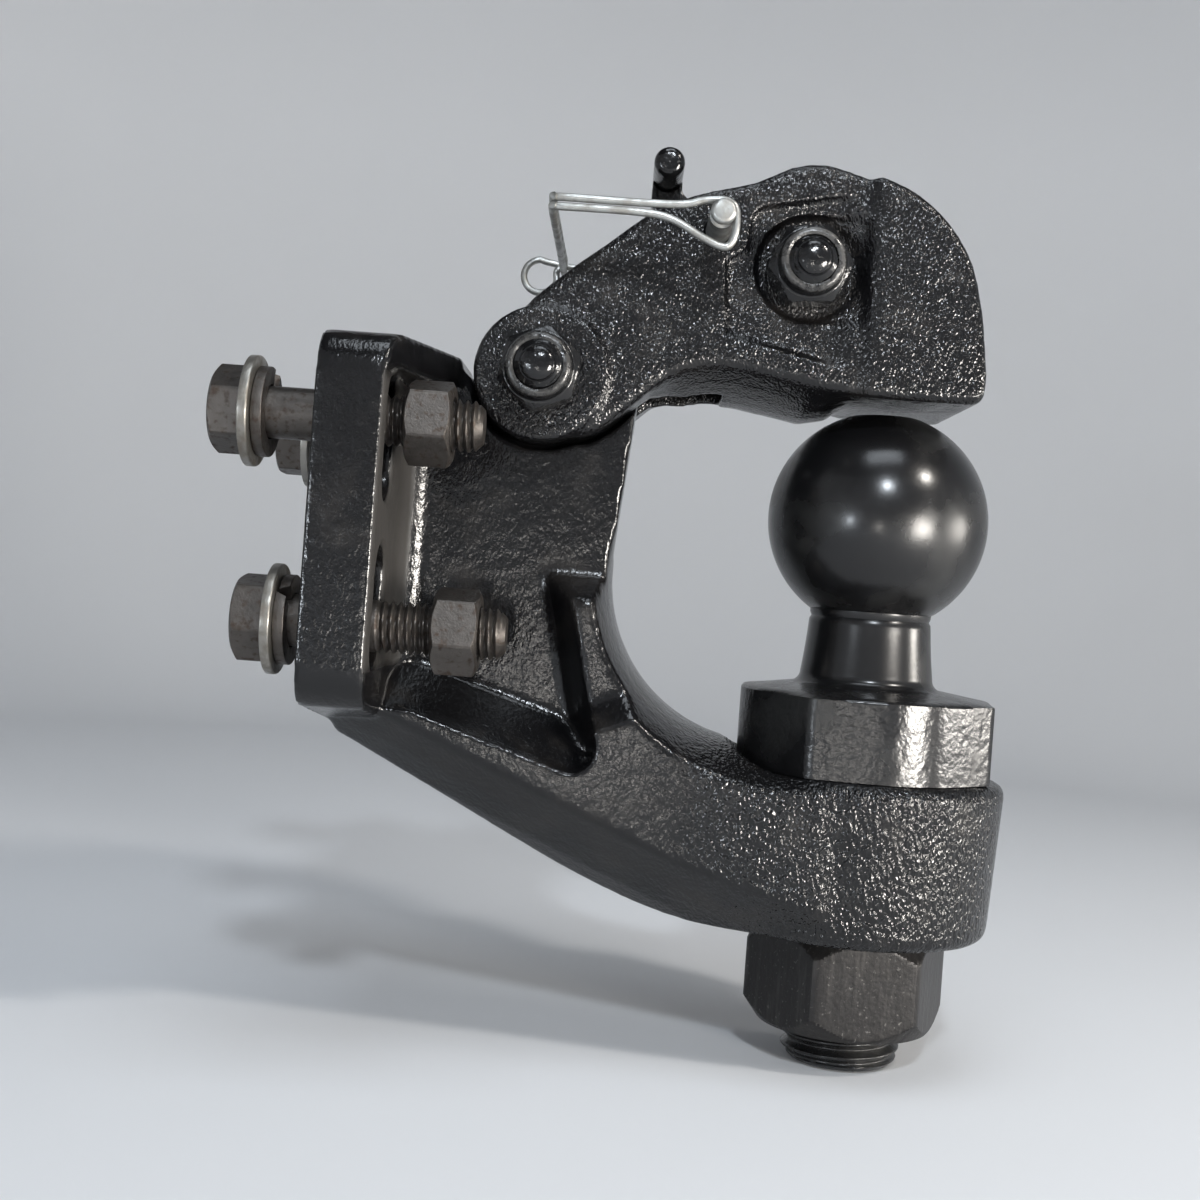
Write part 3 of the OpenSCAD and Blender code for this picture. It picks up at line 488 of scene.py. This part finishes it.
shank_rows = np.concatenate(([seat], np.linspace(seat - SHANK_PLAIN, shank_end, 150)))
shank_turns, shank_high = np.meshgrid(ball_turn, shank_rows)
shank_tip = SHANK_R - np.clip(shank_end + SHANK_TIP - shank_high, 0, SHANK_TIP)
shank_radius = np.minimum(thread(shank_high, shank_turns, SHANK_R, SHANK_PITCH, 0.0018), shank_tip)
ball_end = np.zeros((1, BALL_SIDES))

ball_radius = np.vstack((upper_radius, flange_radius, shank_radius, ball_end))
ball_high = np.vstack((upper_high, flange_high, shank_high, ball_end + shank_end))
ball_turns = np.broadcast_to(ball_turn, ball_radius.shape)
ball_points = about((ball_place[0], 0, 0), UP, FORWARD, ball_radius, ball_turns, ball_high)
ball = skin("tow_ball", ball_points, crease=50)

turned_black = Finish("ball_black")
forged = 1 - turned_black.step(turned_black.split().other("Z"), flange_top - 0.003, flange_top + 0.002)
forged_skin = turned_black.noise(0.0018, 3) * 0.35 + turned_black.noise(0.006, 3) * 0.5
turned_skin = turned_black.noise(0.0012, 2) * 0.03 + turned_black.noise(0.011, 2) * 0.10
smears = turned_black.step(turned_black.noise(0.018, 5), 0.45, 0.70)
turned_black.set(
    Base_Color=turned_black.mix(smears, BALL_BLACK, BALL_SMEAR),
    Roughness=0.23 + 0.12 * smears,
    Normal=turned_black.bump(forged_skin * forged + turned_skin, 0.0005))
ball.data.materials.append(turned_black.material)
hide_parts("hitch_ball")
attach(ball, "hook")

# Ball nut. A heavy hexagon nut of black steel under the boss, its corners chamfered at both ends. The
# wrench has rubbed its flats in upright strokes.
BALL_NUT_ACROSS = 0.0476
BALL_NUT_TURN = math.radians(5)
BALL_NUT_FACE = 0.0232
BALL_NUT_SLOPE = 0.75
NUT_SIDES = 192
NUT_LEAD = 0.0006
THREAD_GAP = 0.00004
NUT_DARK = (0.017, 0.016, 0.016, 1)
NUT_RUBBED = (0.034, 0.032, 0.031, 1)
NUT_SPECK = (0.10, 0.096, 0.092, 1)
HEX_CORNER = 0.985
HEX_CREASE = 18


def nut_rows(across, thick, bore, face, slope):
    """Section of a nut as rows of height and greatest radius: up the outside, from chamfer to chamfer, then
    in over the top, down the bore and out under the nut. A chamfer starts at the radius face and grows by
    slope for each height."""
    climb = np.linspace(0, (across / math.sqrt(3) - face) / slope, 15)
    low = [(h, face + slope * h) for h in climb]
    high = [(thick - h, face + slope * h) for h in climb[::-1]]
    bored = [(thick, bore + NUT_LEAD), (thick - NUT_LEAD, bore), (NUT_LEAD, bore), (0, bore + NUT_LEAD)]
    return np.array(low + high + bored)


def lathe(rows, sides):
    """Radius, turn and height of a turned piece whose section is rows of height and radius."""
    turns, radius = np.meshgrid(circle(sides), rows[:, 1])
    return radius, turns, np.broadcast_to(rows[:, :1], turns.shape)


def hex_grid(rows, across, turn):
    """The same for a hexagon piece: no radius is greater than that of the hexagon with blunt corners."""
    limit, turns, high = lathe(rows, NUT_SIDES)
    hexagon = np.minimum(flats(turns - turn, 6, across), HEX_CORNER * across / math.sqrt(3))
    return np.minimum(limit, hexagon), turns, high


nut_low, nut_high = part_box("ball_nut")
big_rows = nut_rows(
    BALL_NUT_ACROSS, nut_high[2] - nut_low[2], SHANK_R + THREAD_GAP, BALL_NUT_FACE, BALL_NUT_SLOPE)
big_grid = hex_grid(big_rows, BALL_NUT_ACROSS, BALL_NUT_TURN)
big_points = about((ball_place[0], 0, nut_low[2]), UP, FORWARD, *big_grid)
ball_nut = skin("ball_nut_hex", big_points, along=True, crease=HEX_CREASE)
nut_black = Finish("nut_black", Metallic=0.55)
strokes = nut_black.noise(0.0022, 4, nut_black.stretched((1, 1, 0.12)))
specks = nut_black.step(nut_black.noise(0.0009, 4), 0.62, 0.74)
rubbed = nut_black.step(strokes, 0.50, 0.74)
nut_black.set(
    Base_Color=nut_black.mix(specks, nut_black.mix(rubbed, NUT_DARK, NUT_RUBBED), NUT_SPECK),
    Roughness=0.34 + 0.16 * strokes + 0.10 * specks,
    Normal=nut_black.bump(nut_black.noise(0.0016, 3) * 0.5 + strokes * 0.4, 0.00022))
ball_nut.data.materials.append(nut_black.material)
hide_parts("ball_nut")
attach(ball_nut, "hook")

# Mount bolts. Four half-inch hexagon bolts pushed through the slots from behind, of bare dark steel that has
# begun to brown. Their shanks are plain near the head and threaded from there to the tip.
BOLT_R = 0.00635
BOLT_HEX = 0.01905
BOLT_HEAD = 0.0082
BOLT_PITCH = 0.0254 / 13
BOLT_THREADED = 0.03175
BOLT_TIP = 0.0021
BOLT_SIDES = 48
THREAD_CREASE = 40
HEX_FACE = 0.475 * BOLT_HEX
HEX_SLOPE = 1.732
HEAD_SEAT_R = 0.49 * BOLT_HEX
HEAD_SEAT = 0.0004
HEAD_TURNS = (7, 45, 24, 50)
DOWN = (0.0, 0.0, -1.0)
STEEL_DARK = (0.062, 0.055, 0.050, 1)
STEEL_PALE = (0.114, 0.104, 0.096, 1)
STEEL_BROWN = (0.052, 0.038, 0.030, 1)


def bolt_shank(length, threaded, tip):
    """Radius, turn and height of a bolt's shank: plain, then a thread that fades in, then a coned tip."""
    rows = np.concatenate((np.linspace(0, length - threaded, 4, endpoint=False),
                           np.arange(length - threaded, length, BOLT_PITCH / 8), [length]))
    turns, high = np.meshgrid(circle(BOLT_SIDES), rows)
    fade = np.clip((high - length + threaded) / BOLT_PITCH, 0, 1)
    cone = BOLT_R - np.clip(high - length + tip, 0, tip)
    cut = BOLT_R - thread(high, turns, BOLT_R, BOLT_PITCH, 0.55 * BOLT_PITCH)
    return np.minimum(BOLT_R - fade * cut, cone), turns, high


def close_ends(radius, turns, high):
    """The same grid with a point on the axis added before its first row and after its last."""
    zero = np.zeros((1, radius.shape[1]))
    return (np.vstack((zero, radius, zero)),
            np.broadcast_to(turns[0], (radius.shape[0] + 2, radius.shape[1])),
            np.vstack((zero + high[:1], high, zero + high[-1:])))


def head_grid(turn):
    """Bolt head from its seat to the middle of its top, away from the shank: a thin round seat, the hexagon,
    its chamfer and a flat top face."""
    corner = BOLT_HEX / math.sqrt(3)
    climb = np.linspace(0, (corner - HEX_FACE) / HEX_SLOPE, 8)
    rows = [(0, BOLT_R), (0, HEAD_SEAT_R), (HEAD_SEAT, HEAD_SEAT_R), (HEAD_SEAT, corner)]
    rows += [(BOLT_HEAD - h, HEX_FACE + HEX_SLOPE * h) for h in climb[::-1]]
    rows += [(BOLT_HEAD, 0.8 * HEX_FACE), (BOLT_HEAD, 0)]
    radius, turns, high = hex_grid(np.array(rows), BOLT_HEX, turn)
    return radius, turns, -high


def dark_steel(name):
    """Bare steel, dark and faintly brown: cloudy colour, brown in patches, fine pits and brushed facets."""
    finish = Finish(name, Metallic=0.9)
    clouds = finish.noise(0.003, 4)
    brown = finish.step(finish.noise(0.0018, 4), 0.50, 0.75)
    finish.set(
        Base_Color=finish.mix(brown, finish.mix(clouds, STEEL_DARK, STEEL_PALE), STEEL_BROWN),
        Roughness=0.36 + 0.18 * brown + 0.12 * clouds,
        Normal=finish.bump(finish.noise(0.0005, 2) * 0.4 + finish.noise(0.0016, 3) * 0.6, 0.00012))
    return finish.material


bolt_steel = dark_steel("bolt_steel")
for number in range(1, 5):
    bolt_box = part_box(f"mount_bolt_{number}")
    under_head = (bolt_box[0][0] + BOLT_HEAD, *centre(bolt_box)[1:])
    shank_grid = bolt_shank(bolt_box[1][0] - under_head[0], BOLT_THREADED, BOLT_TIP)
    shank_points = about(under_head, FORWARD, DOWN, *close_ends(*shank_grid))
    head_points = about(under_head, FORWARD, DOWN, *head_grid(math.radians(HEAD_TURNS[number - 1])))
    bolt = skin(f"hex_bolt_{number}", shank_points, crease=THREAD_CREASE)
    top = skin(f"hex_head_{number}", head_points, crease=HEX_CREASE)
    for piece in (bolt, top):
        piece.data.materials.append(bolt_steel)
        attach(piece, "hook")
    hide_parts(f"mount_bolt_{number}")
    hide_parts(f"mount_bolt_{number}")

# Flat washers. Half-inch washers stamped from sheet and zinc plated, so that one edge of each is rolled round
# and the other is nearly sharp. They lie against the bolt heads.
ZINC_PALE = (0.37, 0.375, 0.365, 1)
ZINC_DULL = (0.25, 0.245, 0.23, 1)
WASHER_PALE = (0.25, 0.24, 0.22, 1)
WASHER_DULL = (0.16, 0.145, 0.125, 1)
WASHER_BORE = BOLT_R + 0.0004
WASHER_SHARP = 0.0002
WASHER_ROUND = 0.0006
WASHER_SIDES = 96


def ring_rows(inner, outer, thick, low_edge, high_edge):
    """Section of a ring as rows of height and radius, all round it, with its four edges rounded."""
    quarter = np.linspace(0, math.pi / 2, 5)
    rows = []
    for middle_r, middle_h, edge, first in ((outer - low_edge, low_edge, low_edge, -math.pi / 2),
                                            (outer - high_edge, thick - high_edge, high_edge, 0),
                                            (inner + low_edge, thick - low_edge, low_edge, math.pi / 2),
                                            (inner + low_edge, low_edge, low_edge, math.pi)):
        turn = first + quarter
        rows += list(zip(middle_h + edge * np.sin(turn), middle_r + edge * np.cos(turn)))
    return np.array(rows)


def zinc_plate(name, pale=ZINC_PALE, dull_colour=ZINC_DULL):
    """Zinc plate: pale and cloudy with dull cream patches, fine scratches in its bump."""
    finish = Finish(name, Metallic=0.85)
    dull = finish.step(finish.noise(0.0045, 4), 0.42, 0.68)
    scratches = finish.noise(0.0007, 3, finish.stretched((1, 0.25, 0.6)))
    finish.set(
        Base_Color=finish.mix(dull, pale, dull_colour),
        Roughness=0.27 + 0.20 * dull + 0.10 * scratches,
        Normal=finish.bump(scratches * 0.6 + finish.noise(0.002, 2) * 0.4, 0.00008))
    return finish.material


washer_zinc = zinc_plate("washer_zinc", WASHER_PALE, WASHER_DULL)
for number in range(1, 5):
    washer_low, washer_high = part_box(f"flat_washer_{number}")
    washer_place = (washer_low[0], *centre((washer_low, washer_high))[1:])
    washer_rows = ring_rows(WASHER_BORE, (washer_high[1] - washer_low[1]) / 2,
                            washer_high[0] - washer_low[0], WASHER_SHARP, WASHER_ROUND)
    washer_points = about(washer_place, FORWARD, DOWN, *lathe(washer_rows, WASHER_SIDES))
    washer = skin(f"zinc_washer_{number}", washer_points, along=True)
    washer.data.materials.append(washer_zinc)
    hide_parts(f"flat_washer_{number}")
    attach(washer, "hook")

# Split lock washers. Each is a turn of square spring steel cut through at a slant, with its two ends sprung
# apart along the bolt because nothing presses on it yet.
SPLIT_GAP = math.radians(11)
SPLIT_SPRING = 0.0005
SPLIT_BORE = BOLT_R + 0.0003
SPLIT_EDGE = 0.0003
SPLIT_STARTS = (160, 230, 300, 370)

spring_steel = dark_steel("split_washer_steel")
for number in range(1, 5):
    split_low, split_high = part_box(f"lock_washer_{number}")
    split_place = (split_low[0], *centre((split_low, split_high))[1:])
    split_rows = ring_rows(SPLIT_BORE, (split_high[1] - split_low[1]) / 2,
                           split_high[0] - split_low[0] - SPLIT_SPRING, SPLIT_EDGE, SPLIT_EDGE)
    split_start = math.radians(SPLIT_STARTS[number - 1])
    split_run = np.linspace(SPLIT_GAP / 2, 2 * math.pi - SPLIT_GAP / 2, 72)
    run, radius = np.meshgrid(split_run, split_rows[:, 1])
    height = split_rows[:, :1] + SPLIT_SPRING * run / (2 * math.pi)
    slant = 0.5 * (height - height.mean()) / radius * np.cos(run / 2)
    end_height, end_radius = (np.full((len(split_rows), 1), mean) for mean in split_rows.mean(axis=0))
    radius = np.hstack((end_radius, radius, end_radius))
    height = np.hstack((end_height, height, end_height + SPLIT_SPRING))
    run = np.hstack((run[:, :1], run + slant, run[:, -1:]))
    split_points = about(split_place, FORWARD, DOWN, radius, run + split_start, height)
    split = skin(f"split_washer_{number}", split_points, around=False, along=True)
    split.data.materials.append(spring_steel)
    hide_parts(f"lock_washer_{number}")
    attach(split, "hook")

# Mount nuts. Four plain half-inch nuts of the same dark steel, turned a few threads on to the bolts in front
# of the plate.
NUT_TURNS = (50, 47, 20, 33)

nut_steel = dark_steel("nut_steel")
for number in range(1, 5):
    nut_low, nut_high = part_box(f"mount_nut_{number}")
    nut_place = (nut_low[0], *centre((nut_low, nut_high))[1:])
    plain_rows = nut_rows(BOLT_HEX, nut_high[0] - nut_low[0], BOLT_R + THREAD_GAP, HEX_FACE, HEX_SLOPE)
    nut_grid = hex_grid(plain_rows, BOLT_HEX, math.radians(NUT_TURNS[number - 1]))
    nut_points = about(nut_place, FORWARD, DOWN, *nut_grid)
    nut = skin(f"hex_nut_{number}", nut_points, along=True, crease=HEX_CREASE)
    nut.data.materials.append(nut_steel)
    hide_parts(f"mount_nut_{number}")
    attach(nut, "hook")

# Upper jaw. A second sand casting: two walls with round ears, a roof and a blunt nose. Its skin is finer
# than the hook's and the same enamel lies over it.
JAW_FACE = 0.00074
JAW_ROUNDING = 3
JAW_WAVE = 0.0034
JAW_WAVE_DEPTH = 0.00003
JAW_GRAIN = 0.0007
JAW_GRAIN_DEPTH = 0.00037
JAW_SLANT = 0.7
NOSE_STEP = ((0.126, 0.020, 0.0585), (0.137, 0.040, 0.0885))
NOSE_STEP_SMOOTHED = 20

jaw = cast_copy("cast_jaw", "upper_jaw", JAW_FACE, JAW_ROUNDING)
ease(jaw, *NOSE_STEP, NOSE_STEP_SMOOTHED)
roughen(jaw, JAW_WAVE, JAW_WAVE_DEPTH)
jaw.data.materials.append(enamel("jaw_enamel", JAW_GRAIN, JAW_GRAIN_DEPTH, JAW_SLANT))
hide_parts("upper_jaw")
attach(jaw, "jaw")

# Pivot bolts. Two half-inch bolts across the jaw, black over a turned shank, with their heads on the far
# side and domed tips that stand out of the lock nuts.
NEAR = (0.0, -1.0, 0.0)
TIP_DOME_R = 0.0043
TIP_DOME_RISE = 0.0016
PIVOT_THREADED = 0.012
PIVOT_TIP = 0.0017
PIVOT_HEAD_TURN = math.radians(12)
PAINT_BLACK = (0.004, 0.004, 0.0045, 1)
PAINT_SPECK = (0.03, 0.029, 0.027, 1)


def shiny_black(name):
    """Thick gloss black paint on turned steel: nearly smooth, with a few runs and dust specks."""
    finish = Finish(name)
    runs = finish.noise(0.0035, 3)
    specks = finish.step(finish.noise(0.0011, 3), 0.62, 0.72)
    finish.set(
        Base_Color=finish.mix(specks, PAINT_BLACK, PAINT_SPECK),
        Roughness=0.09 + 0.12 * runs + 0.2 * specks,
        Normal=finish.bump(runs + 0.25 * finish.noise(0.0008, 2), 0.00025))
    return finish.material


pivot_black = shiny_black("pivot_black")
for bolt_name in ("jaw_pivot_bolt", "lock_pivot_bolt"):
    bolt_low, bolt_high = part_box(bolt_name)
    under_head = centre((bolt_low, bolt_high))
    under_head[1] = bolt_high[1] - BOLT_HEAD
    radius, turns, high = bolt_shank(under_head[1] - bolt_low[1] - TIP_DOME_RISE, PIVOT_THREADED, PIVOT_TIP)
    dome = np.meshgrid(turns[0], np.linspace(0, math.pi / 2, 8))[1]
    radius = np.vstack((radius, TIP_DOME_R * np.cos(dome)))
    high = np.vstack((high, high[-1:] + TIP_DOME_RISE * np.sin(dome)))
    shank_points = about(under_head, NEAR, FORWARD, *close_ends(radius, turns, high))
    head_points = about(under_head, NEAR, FORWARD, *head_grid(PIVOT_HEAD_TURN))
    shank = skin(bolt_name + "_shank", shank_points, crease=THREAD_CREASE)
    top = skin(bolt_name + "_head", head_points, crease=HEX_CREASE)
    for piece in (shank, top):
        piece.data.materials.append(pivot_black)
        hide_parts(bolt_name)
        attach(piece, "jaw")

# Pivot nuts. Lock nuts with a plastic ring: a hexagon, then a round collar whose lip is turned in over the
# ring. The paint is rubbed grey along the lip.
LOCK_HEX_THICK = 0.010
LOCK_COLLAR_R = 0.0082
LOCK_LIP_R = 0.0072
LOCK_LIP_ROUND = 0.0014
LOCK_BORE = BOLT_R + 0.0001
LOCK_LEAD = 0.0006
LOCK_SLOPE = 1.2
LOCK_CREASE = 25
LOCK_BLACK = (0.006, 0.006, 0.0065, 1)
LOCK_TURNS = {"jaw_pivot_nut": math.radians(20), "lock_pivot_nut": math.radians(5)}
LOCK_RUBBED = {"jaw_pivot_nut": (0.03, 0.029, 0.028, 1), "lock_pivot_nut": (0.045, 0.044, 0.043, 1)}

for nut_name, nut_turn in LOCK_TURNS.items():
    nut_low, nut_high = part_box(nut_name)
    thick = nut_high[1] - nut_low[1]
    nut_place = centre((nut_low, nut_high))
    nut_place[1] = nut_high[1]
    climb = np.linspace(0, (BOLT_HEX / math.sqrt(3) - HEX_FACE) / LOCK_SLOPE, 8)
    lip = np.linspace(0, math.pi / 2, 7)
    lock_rows = [(0, HEX_FACE)] + [(h, HEX_FACE + HEX_SLOPE * h) for h in climb]
    lock_rows += [(LOCK_HEX_THICK - h, HEX_FACE + LOCK_SLOPE * h) for h in climb[::-1]]
    lock_rows += [(LOCK_HEX_THICK + 0.0012 * (1 - math.cos(a)), LOCK_COLLAR_R + 0.0008 * (1 - math.sin(a)))
                  for a in lip]
    lock_rows += [(thick - LOCK_LIP_ROUND + LOCK_LIP_ROUND * math.sin(a),
                   LOCK_LIP_R - 0.0004 + LOCK_LIP_ROUND * math.cos(a)) for a in lip]
    lock_rows += [(thick - 0.0002, LOCK_LIP_R - 0.0010), (thick - 0.0016, LOCK_LIP_R - 0.0013),
                  (thick - 0.0020, LOCK_BORE), (LOCK_LEAD, LOCK_BORE), (0, BOLT_R + LOCK_LEAD)]
    lock_points = about(nut_place, NEAR, FORWARD, *hex_grid(np.array(lock_rows), BOLT_HEX, nut_turn))
    lock_nut = skin(nut_name + "_collared", lock_points, along=True, crease=LOCK_CREASE)
    collared = Finish(nut_name + "_black")
    lip_mask = 1 - collared.step(collared.split().other("Y"), nut_low[1] + 0.0003, nut_low[1] + 0.0014)
    rub = lip_mask * collared.step(collared.noise(0.002, 3), 0.30, 0.55)
    collared.set(
        Base_Color=collared.mix(rub, LOCK_BLACK, LOCK_RUBBED[nut_name]),
        Roughness=0.10 + 0.14 * collared.noise(0.003, 3) + 0.12 * rub,
        Normal=collared.bump(collared.noise(0.0022, 3), 0.00025))
    lock_nut.data.materials.append(collared.material)
    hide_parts(nut_name)
    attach(lock_nut, "jaw")

# Lock lever. A small iron casting between the jaw's walls, bored for its pivot and slotted round the safety
# pin. Its lug stands out of the roof and carries the handle.
LEVER_FACE = 0.00055
LEVER_ROUNDING = 4
LEVER_WAVE = 0.003
LEVER_WAVE_DEPTH = 0.00004
LEVER_GRAIN = 0.0013
LEVER_GRAIN_DEPTH = 0.0003

lever = cast_copy("cast_lever", "lock_lever", LEVER_FACE, LEVER_ROUNDING)
roughen(lever, LEVER_WAVE, LEVER_WAVE_DEPTH)
lever.data.materials.append(enamel("lever_enamel", LEVER_GRAIN, LEVER_GRAIN_DEPTH))
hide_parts("lock_lever")
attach(lever, "lever")

# Lock handle. A short round bar pressed across the lug of the lever. Its ends are turned round and it is
# painted the same gloss black as the pivot bolts.
HANDLE_ROUND = 0.0022
BAR_SIDES = 48


def bar_rows(bar_r, length, edge, steps, between=()):
    """Section of a round bar as rows of height and radius. Its ends are rounded over edge, and rows such as
    those of a groove can come between them."""
    arc = np.linspace(0, math.pi / 2, steps)
    low = [(edge * (1 - math.cos(a)), bar_r - edge * (1 - math.sin(a))) for a in arc]
    high = [(length - edge * (1 - math.sin(a)), bar_r - edge * (1 - math.cos(a))) for a in arc]
    return np.array([(0, 0), *low, *between, *high, (length, 0)])


handle_low, handle_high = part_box("lock_handle")
handle_place = centre((handle_low, handle_high))
handle_place[1] = handle_high[1]
handle_rows = bar_rows(
    (handle_high[0] - handle_low[0]) / 2, handle_high[1] - handle_low[1], HANDLE_ROUND, 8)
handle = skin("round_handle", about(handle_place, NEAR, FORWARD, *lathe(handle_rows, BAR_SIDES)))
handle.data.materials.append(shiny_black("handle_black"))
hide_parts("lock_handle")
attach(handle, "lever")

# Safety pin. A quarter-inch bar, zinc plated, with rounded tips and a turned groove at the near one, pushed
# across jaw and lever from the far side. The keeper's ends sit in its cross hole there.
GROOVE_IN = 0.0034
GROOVE_DEEP = 0.0015
GROOVE_HALF_FLOOR = 0.0015
GROOVE_HALF_MOUTH = 0.0018
PIN_ROUND = 0.0011

pin_low, pin_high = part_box("safety_pin")
pin_place = centre((pin_low, pin_high))
pin_place[1] = pin_high[1]
pin_r = (pin_high[0] - pin_low[0]) / 2
pin_long = pin_high[1] - pin_low[1]
groove_r = pin_r - GROOVE_DEEP
groove_at = pin_long - GROOVE_IN
pin_rows = bar_rows(pin_r, pin_long, PIN_ROUND, 6, [
    (groove_at - GROOVE_HALF_MOUTH, pin_r), (groove_at - GROOVE_HALF_FLOOR, groove_r),
    (groove_at + GROOVE_HALF_FLOOR, groove_r), (groove_at + GROOVE_HALF_MOUTH, pin_r)])
pin = skin("zinc_pin", about(pin_place, NEAR, FORWARD, *lathe(pin_rows, BAR_SIDES)))
pin.data.materials.append(zinc_plate("pin_zinc"))
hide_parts("safety_pin")
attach(pin, "pin")

# Keeper. One length of bright spring wire: its ends hinge in the pin's cross hole, two strands run round
# behind the handle, and the loop in the middle snaps over the pin's near tip.
WIRE_R = 0.001
WIRE_SIDES = 12
WIRE_STEPS = 7
WIRE_GAP = 0.00015
BEND = 0.003
RING_R = 0.005
RING_BACK = 0.007
RING_DROP = 0.002


def through(points, steps):
    """Smooth curve through points: on each stretch a cubic whose slope at a point is half the line between
    that point's neighbours."""
    ends = np.vstack((points[:1], points, points[-1:]))
    a, b, c, d = (ends[i:len(ends) - 3 + i, None, :] for i in range(4))
    t = (np.arange(steps) / steps)[None, :, None]
    square = 2 * a - 5 * b + 4 * c - d
    cube = 3 * b - a - 3 * c + d
    curve = (2 * b + (c - a) * t + square * t ** 2 + cube * t ** 3) / 2
    return np.vstack((curve.reshape(-1, 3), points[-1:]))


def wire_skin(name, path, wire_r, sides):
    """Round section carried along a path. The section's first spoke turns with the path, never round it."""
    ways = np.gradient(path, axis=0)
    ways /= np.linalg.norm(ways, axis=1)[:, None]
    spoke = np.cross(ways[0], UP if abs(ways[0][2]) < 0.9 else FORWARD)
    spokes = []
    for way in ways:
        spoke = spoke - spoke.dot(way) * way
        spoke = spoke / np.linalg.norm(spoke)
        spokes.append(spoke)
    spokes = np.array(spokes)[:, None, :]
    thirds = np.cross(ways[:, None, :], spokes)
    turn = circle(sides)[None, :, None]
    tube = path[:, None, :] + wire_r * (np.cos(turn) * spokes + np.sin(turn) * thirds)
    ends = [np.repeat(path[i][None, None, :], sides, axis=1) for i in (0, -1)]
    return skin(name, np.concatenate((ends[0], tube, ends[1])))


joints = {joint["name"]: joint for joint in record["behaviour"]["joints"]}
pin_x, hinge_y, pin_z = joints["keeper_swing"]["pos_m"]
back_x = joints["jaw_pivot"]["pos_m"][0] + 0.0007
near_y = pin_low[1] + GROOVE_IN
far_y = hinge_y + 0.0015
strand = WIRE_R + WIRE_GAP
over = pin_r + WIRE_R + 0.0004
snap = groove_r + WIRE_R + WIRE_GAP


def strand_run(side):
    """Points of the upper strand if side is 1, or the lower one if it is -1, from the pin's head to the near
    side. The upper strand makes a round loop where it turns the far corner."""
    start = [(pin_x, hinge_y, pin_z + side * 0.0006), (pin_x, hinge_y, pin_z + side * pin_r),
             (pin_x, hinge_y, pin_z + side * over),
             (pin_x - BEND, hinge_y + 0.001, pin_z + side * (over + 0.0006)),
             (pin_x - 0.012, far_y, pin_z + side * strand), (back_x + 2 * BEND, far_y, pin_z + side * strand)]
    ring = np.radians(np.arange(60, 381, 40))
    loop = np.stack((back_x - RING_BACK + RING_R * np.cos(ring), far_y - np.degrees(ring) / 200000,
                     pin_z - RING_DROP + RING_R * np.sin(ring)), axis=-1)
    corner = loop if side > 0 else [(back_x + 0.3 * BEND, far_y - 0.3 * BEND, pin_z - strand)]
    end = [(back_x, far_y - 2 * BEND, pin_z + side * strand), (back_x, 0, pin_z + side * strand),
           (back_x, near_y + BEND, pin_z + side * strand),
           (back_x + 0.3 * BEND, near_y + 0.3 * BEND, pin_z + side * strand),
           (back_x + BEND, near_y, pin_z + side * strand), (pin_x - 0.020, near_y, pin_z + side * strand)]
    return np.vstack((start, corner, end))


snap_loop = [(-0.010, 0.0015), (-0.0055, snap - 0.0002), (-0.0024, snap + 0.0003), (0.001, snap + 0.0002),
             (snap + 0.0002, 0.001), (snap + 0.0004, -0.0045), (0.0012, -0.008), (-0.0045, -0.0062),
             (-0.012, -0.0024)]
snap_points = np.array([(pin_x + forward, near_y, pin_z + up) for forward, up in snap_loop])
keeper_path = through(np.vstack((strand_run(1), snap_points, strand_run(-1)[::-1])), WIRE_STEPS)
keeper = wire_skin("spring_keeper", keeper_path, WIRE_R, WIRE_SIDES)
keeper.data.materials.append(zinc_plate("keeper_zinc"))
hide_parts("keeper_wire")
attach(keeper, "keeper")

# Return spring. Nearly two and a half turns of wire round the lock pivot, beside the lever and inside the
# jaw. One leg lies along the lever and the other in the jaw, and together they press the lever down.
SPRING_R = 0.009
SPRING_WIRE_R = 0.0007
SPRING_PITCH = 0.00155
SPRING_TURNS = 2.4
SPRING_LEG = 0.008
SPRING_SIDES = 10

lock_x, _, lock_z = joints["lock_lever_pivot"]["pos_m"]
spring_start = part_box("lock_spring")[0][1] + SPRING_WIRE_R
coil = np.linspace(0, 2 * math.pi * SPRING_TURNS, 96)
coil_path = np.stack((lock_x - SPRING_R * np.sin(coil), spring_start + SPRING_PITCH * coil / (2 * math.pi),
                      lock_z - SPRING_R * np.cos(coil)), axis=-1)
coil_end = coil_path[-1] + SPRING_LEG / 2 * np.array((-math.cos(coil[-1]), 0, math.sin(coil[-1])))
spring_path = np.vstack(([coil_path[0] + (SPRING_LEG, 0, 0)], coil_path, [coil_end]))
spring = wire_skin("return_spring", spring_path, SPRING_WIRE_R, SPRING_SIDES)
spring.data.materials.append(zinc_plate("spring_zinc"))
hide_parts("lock_spring")
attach(spring, "jaw")
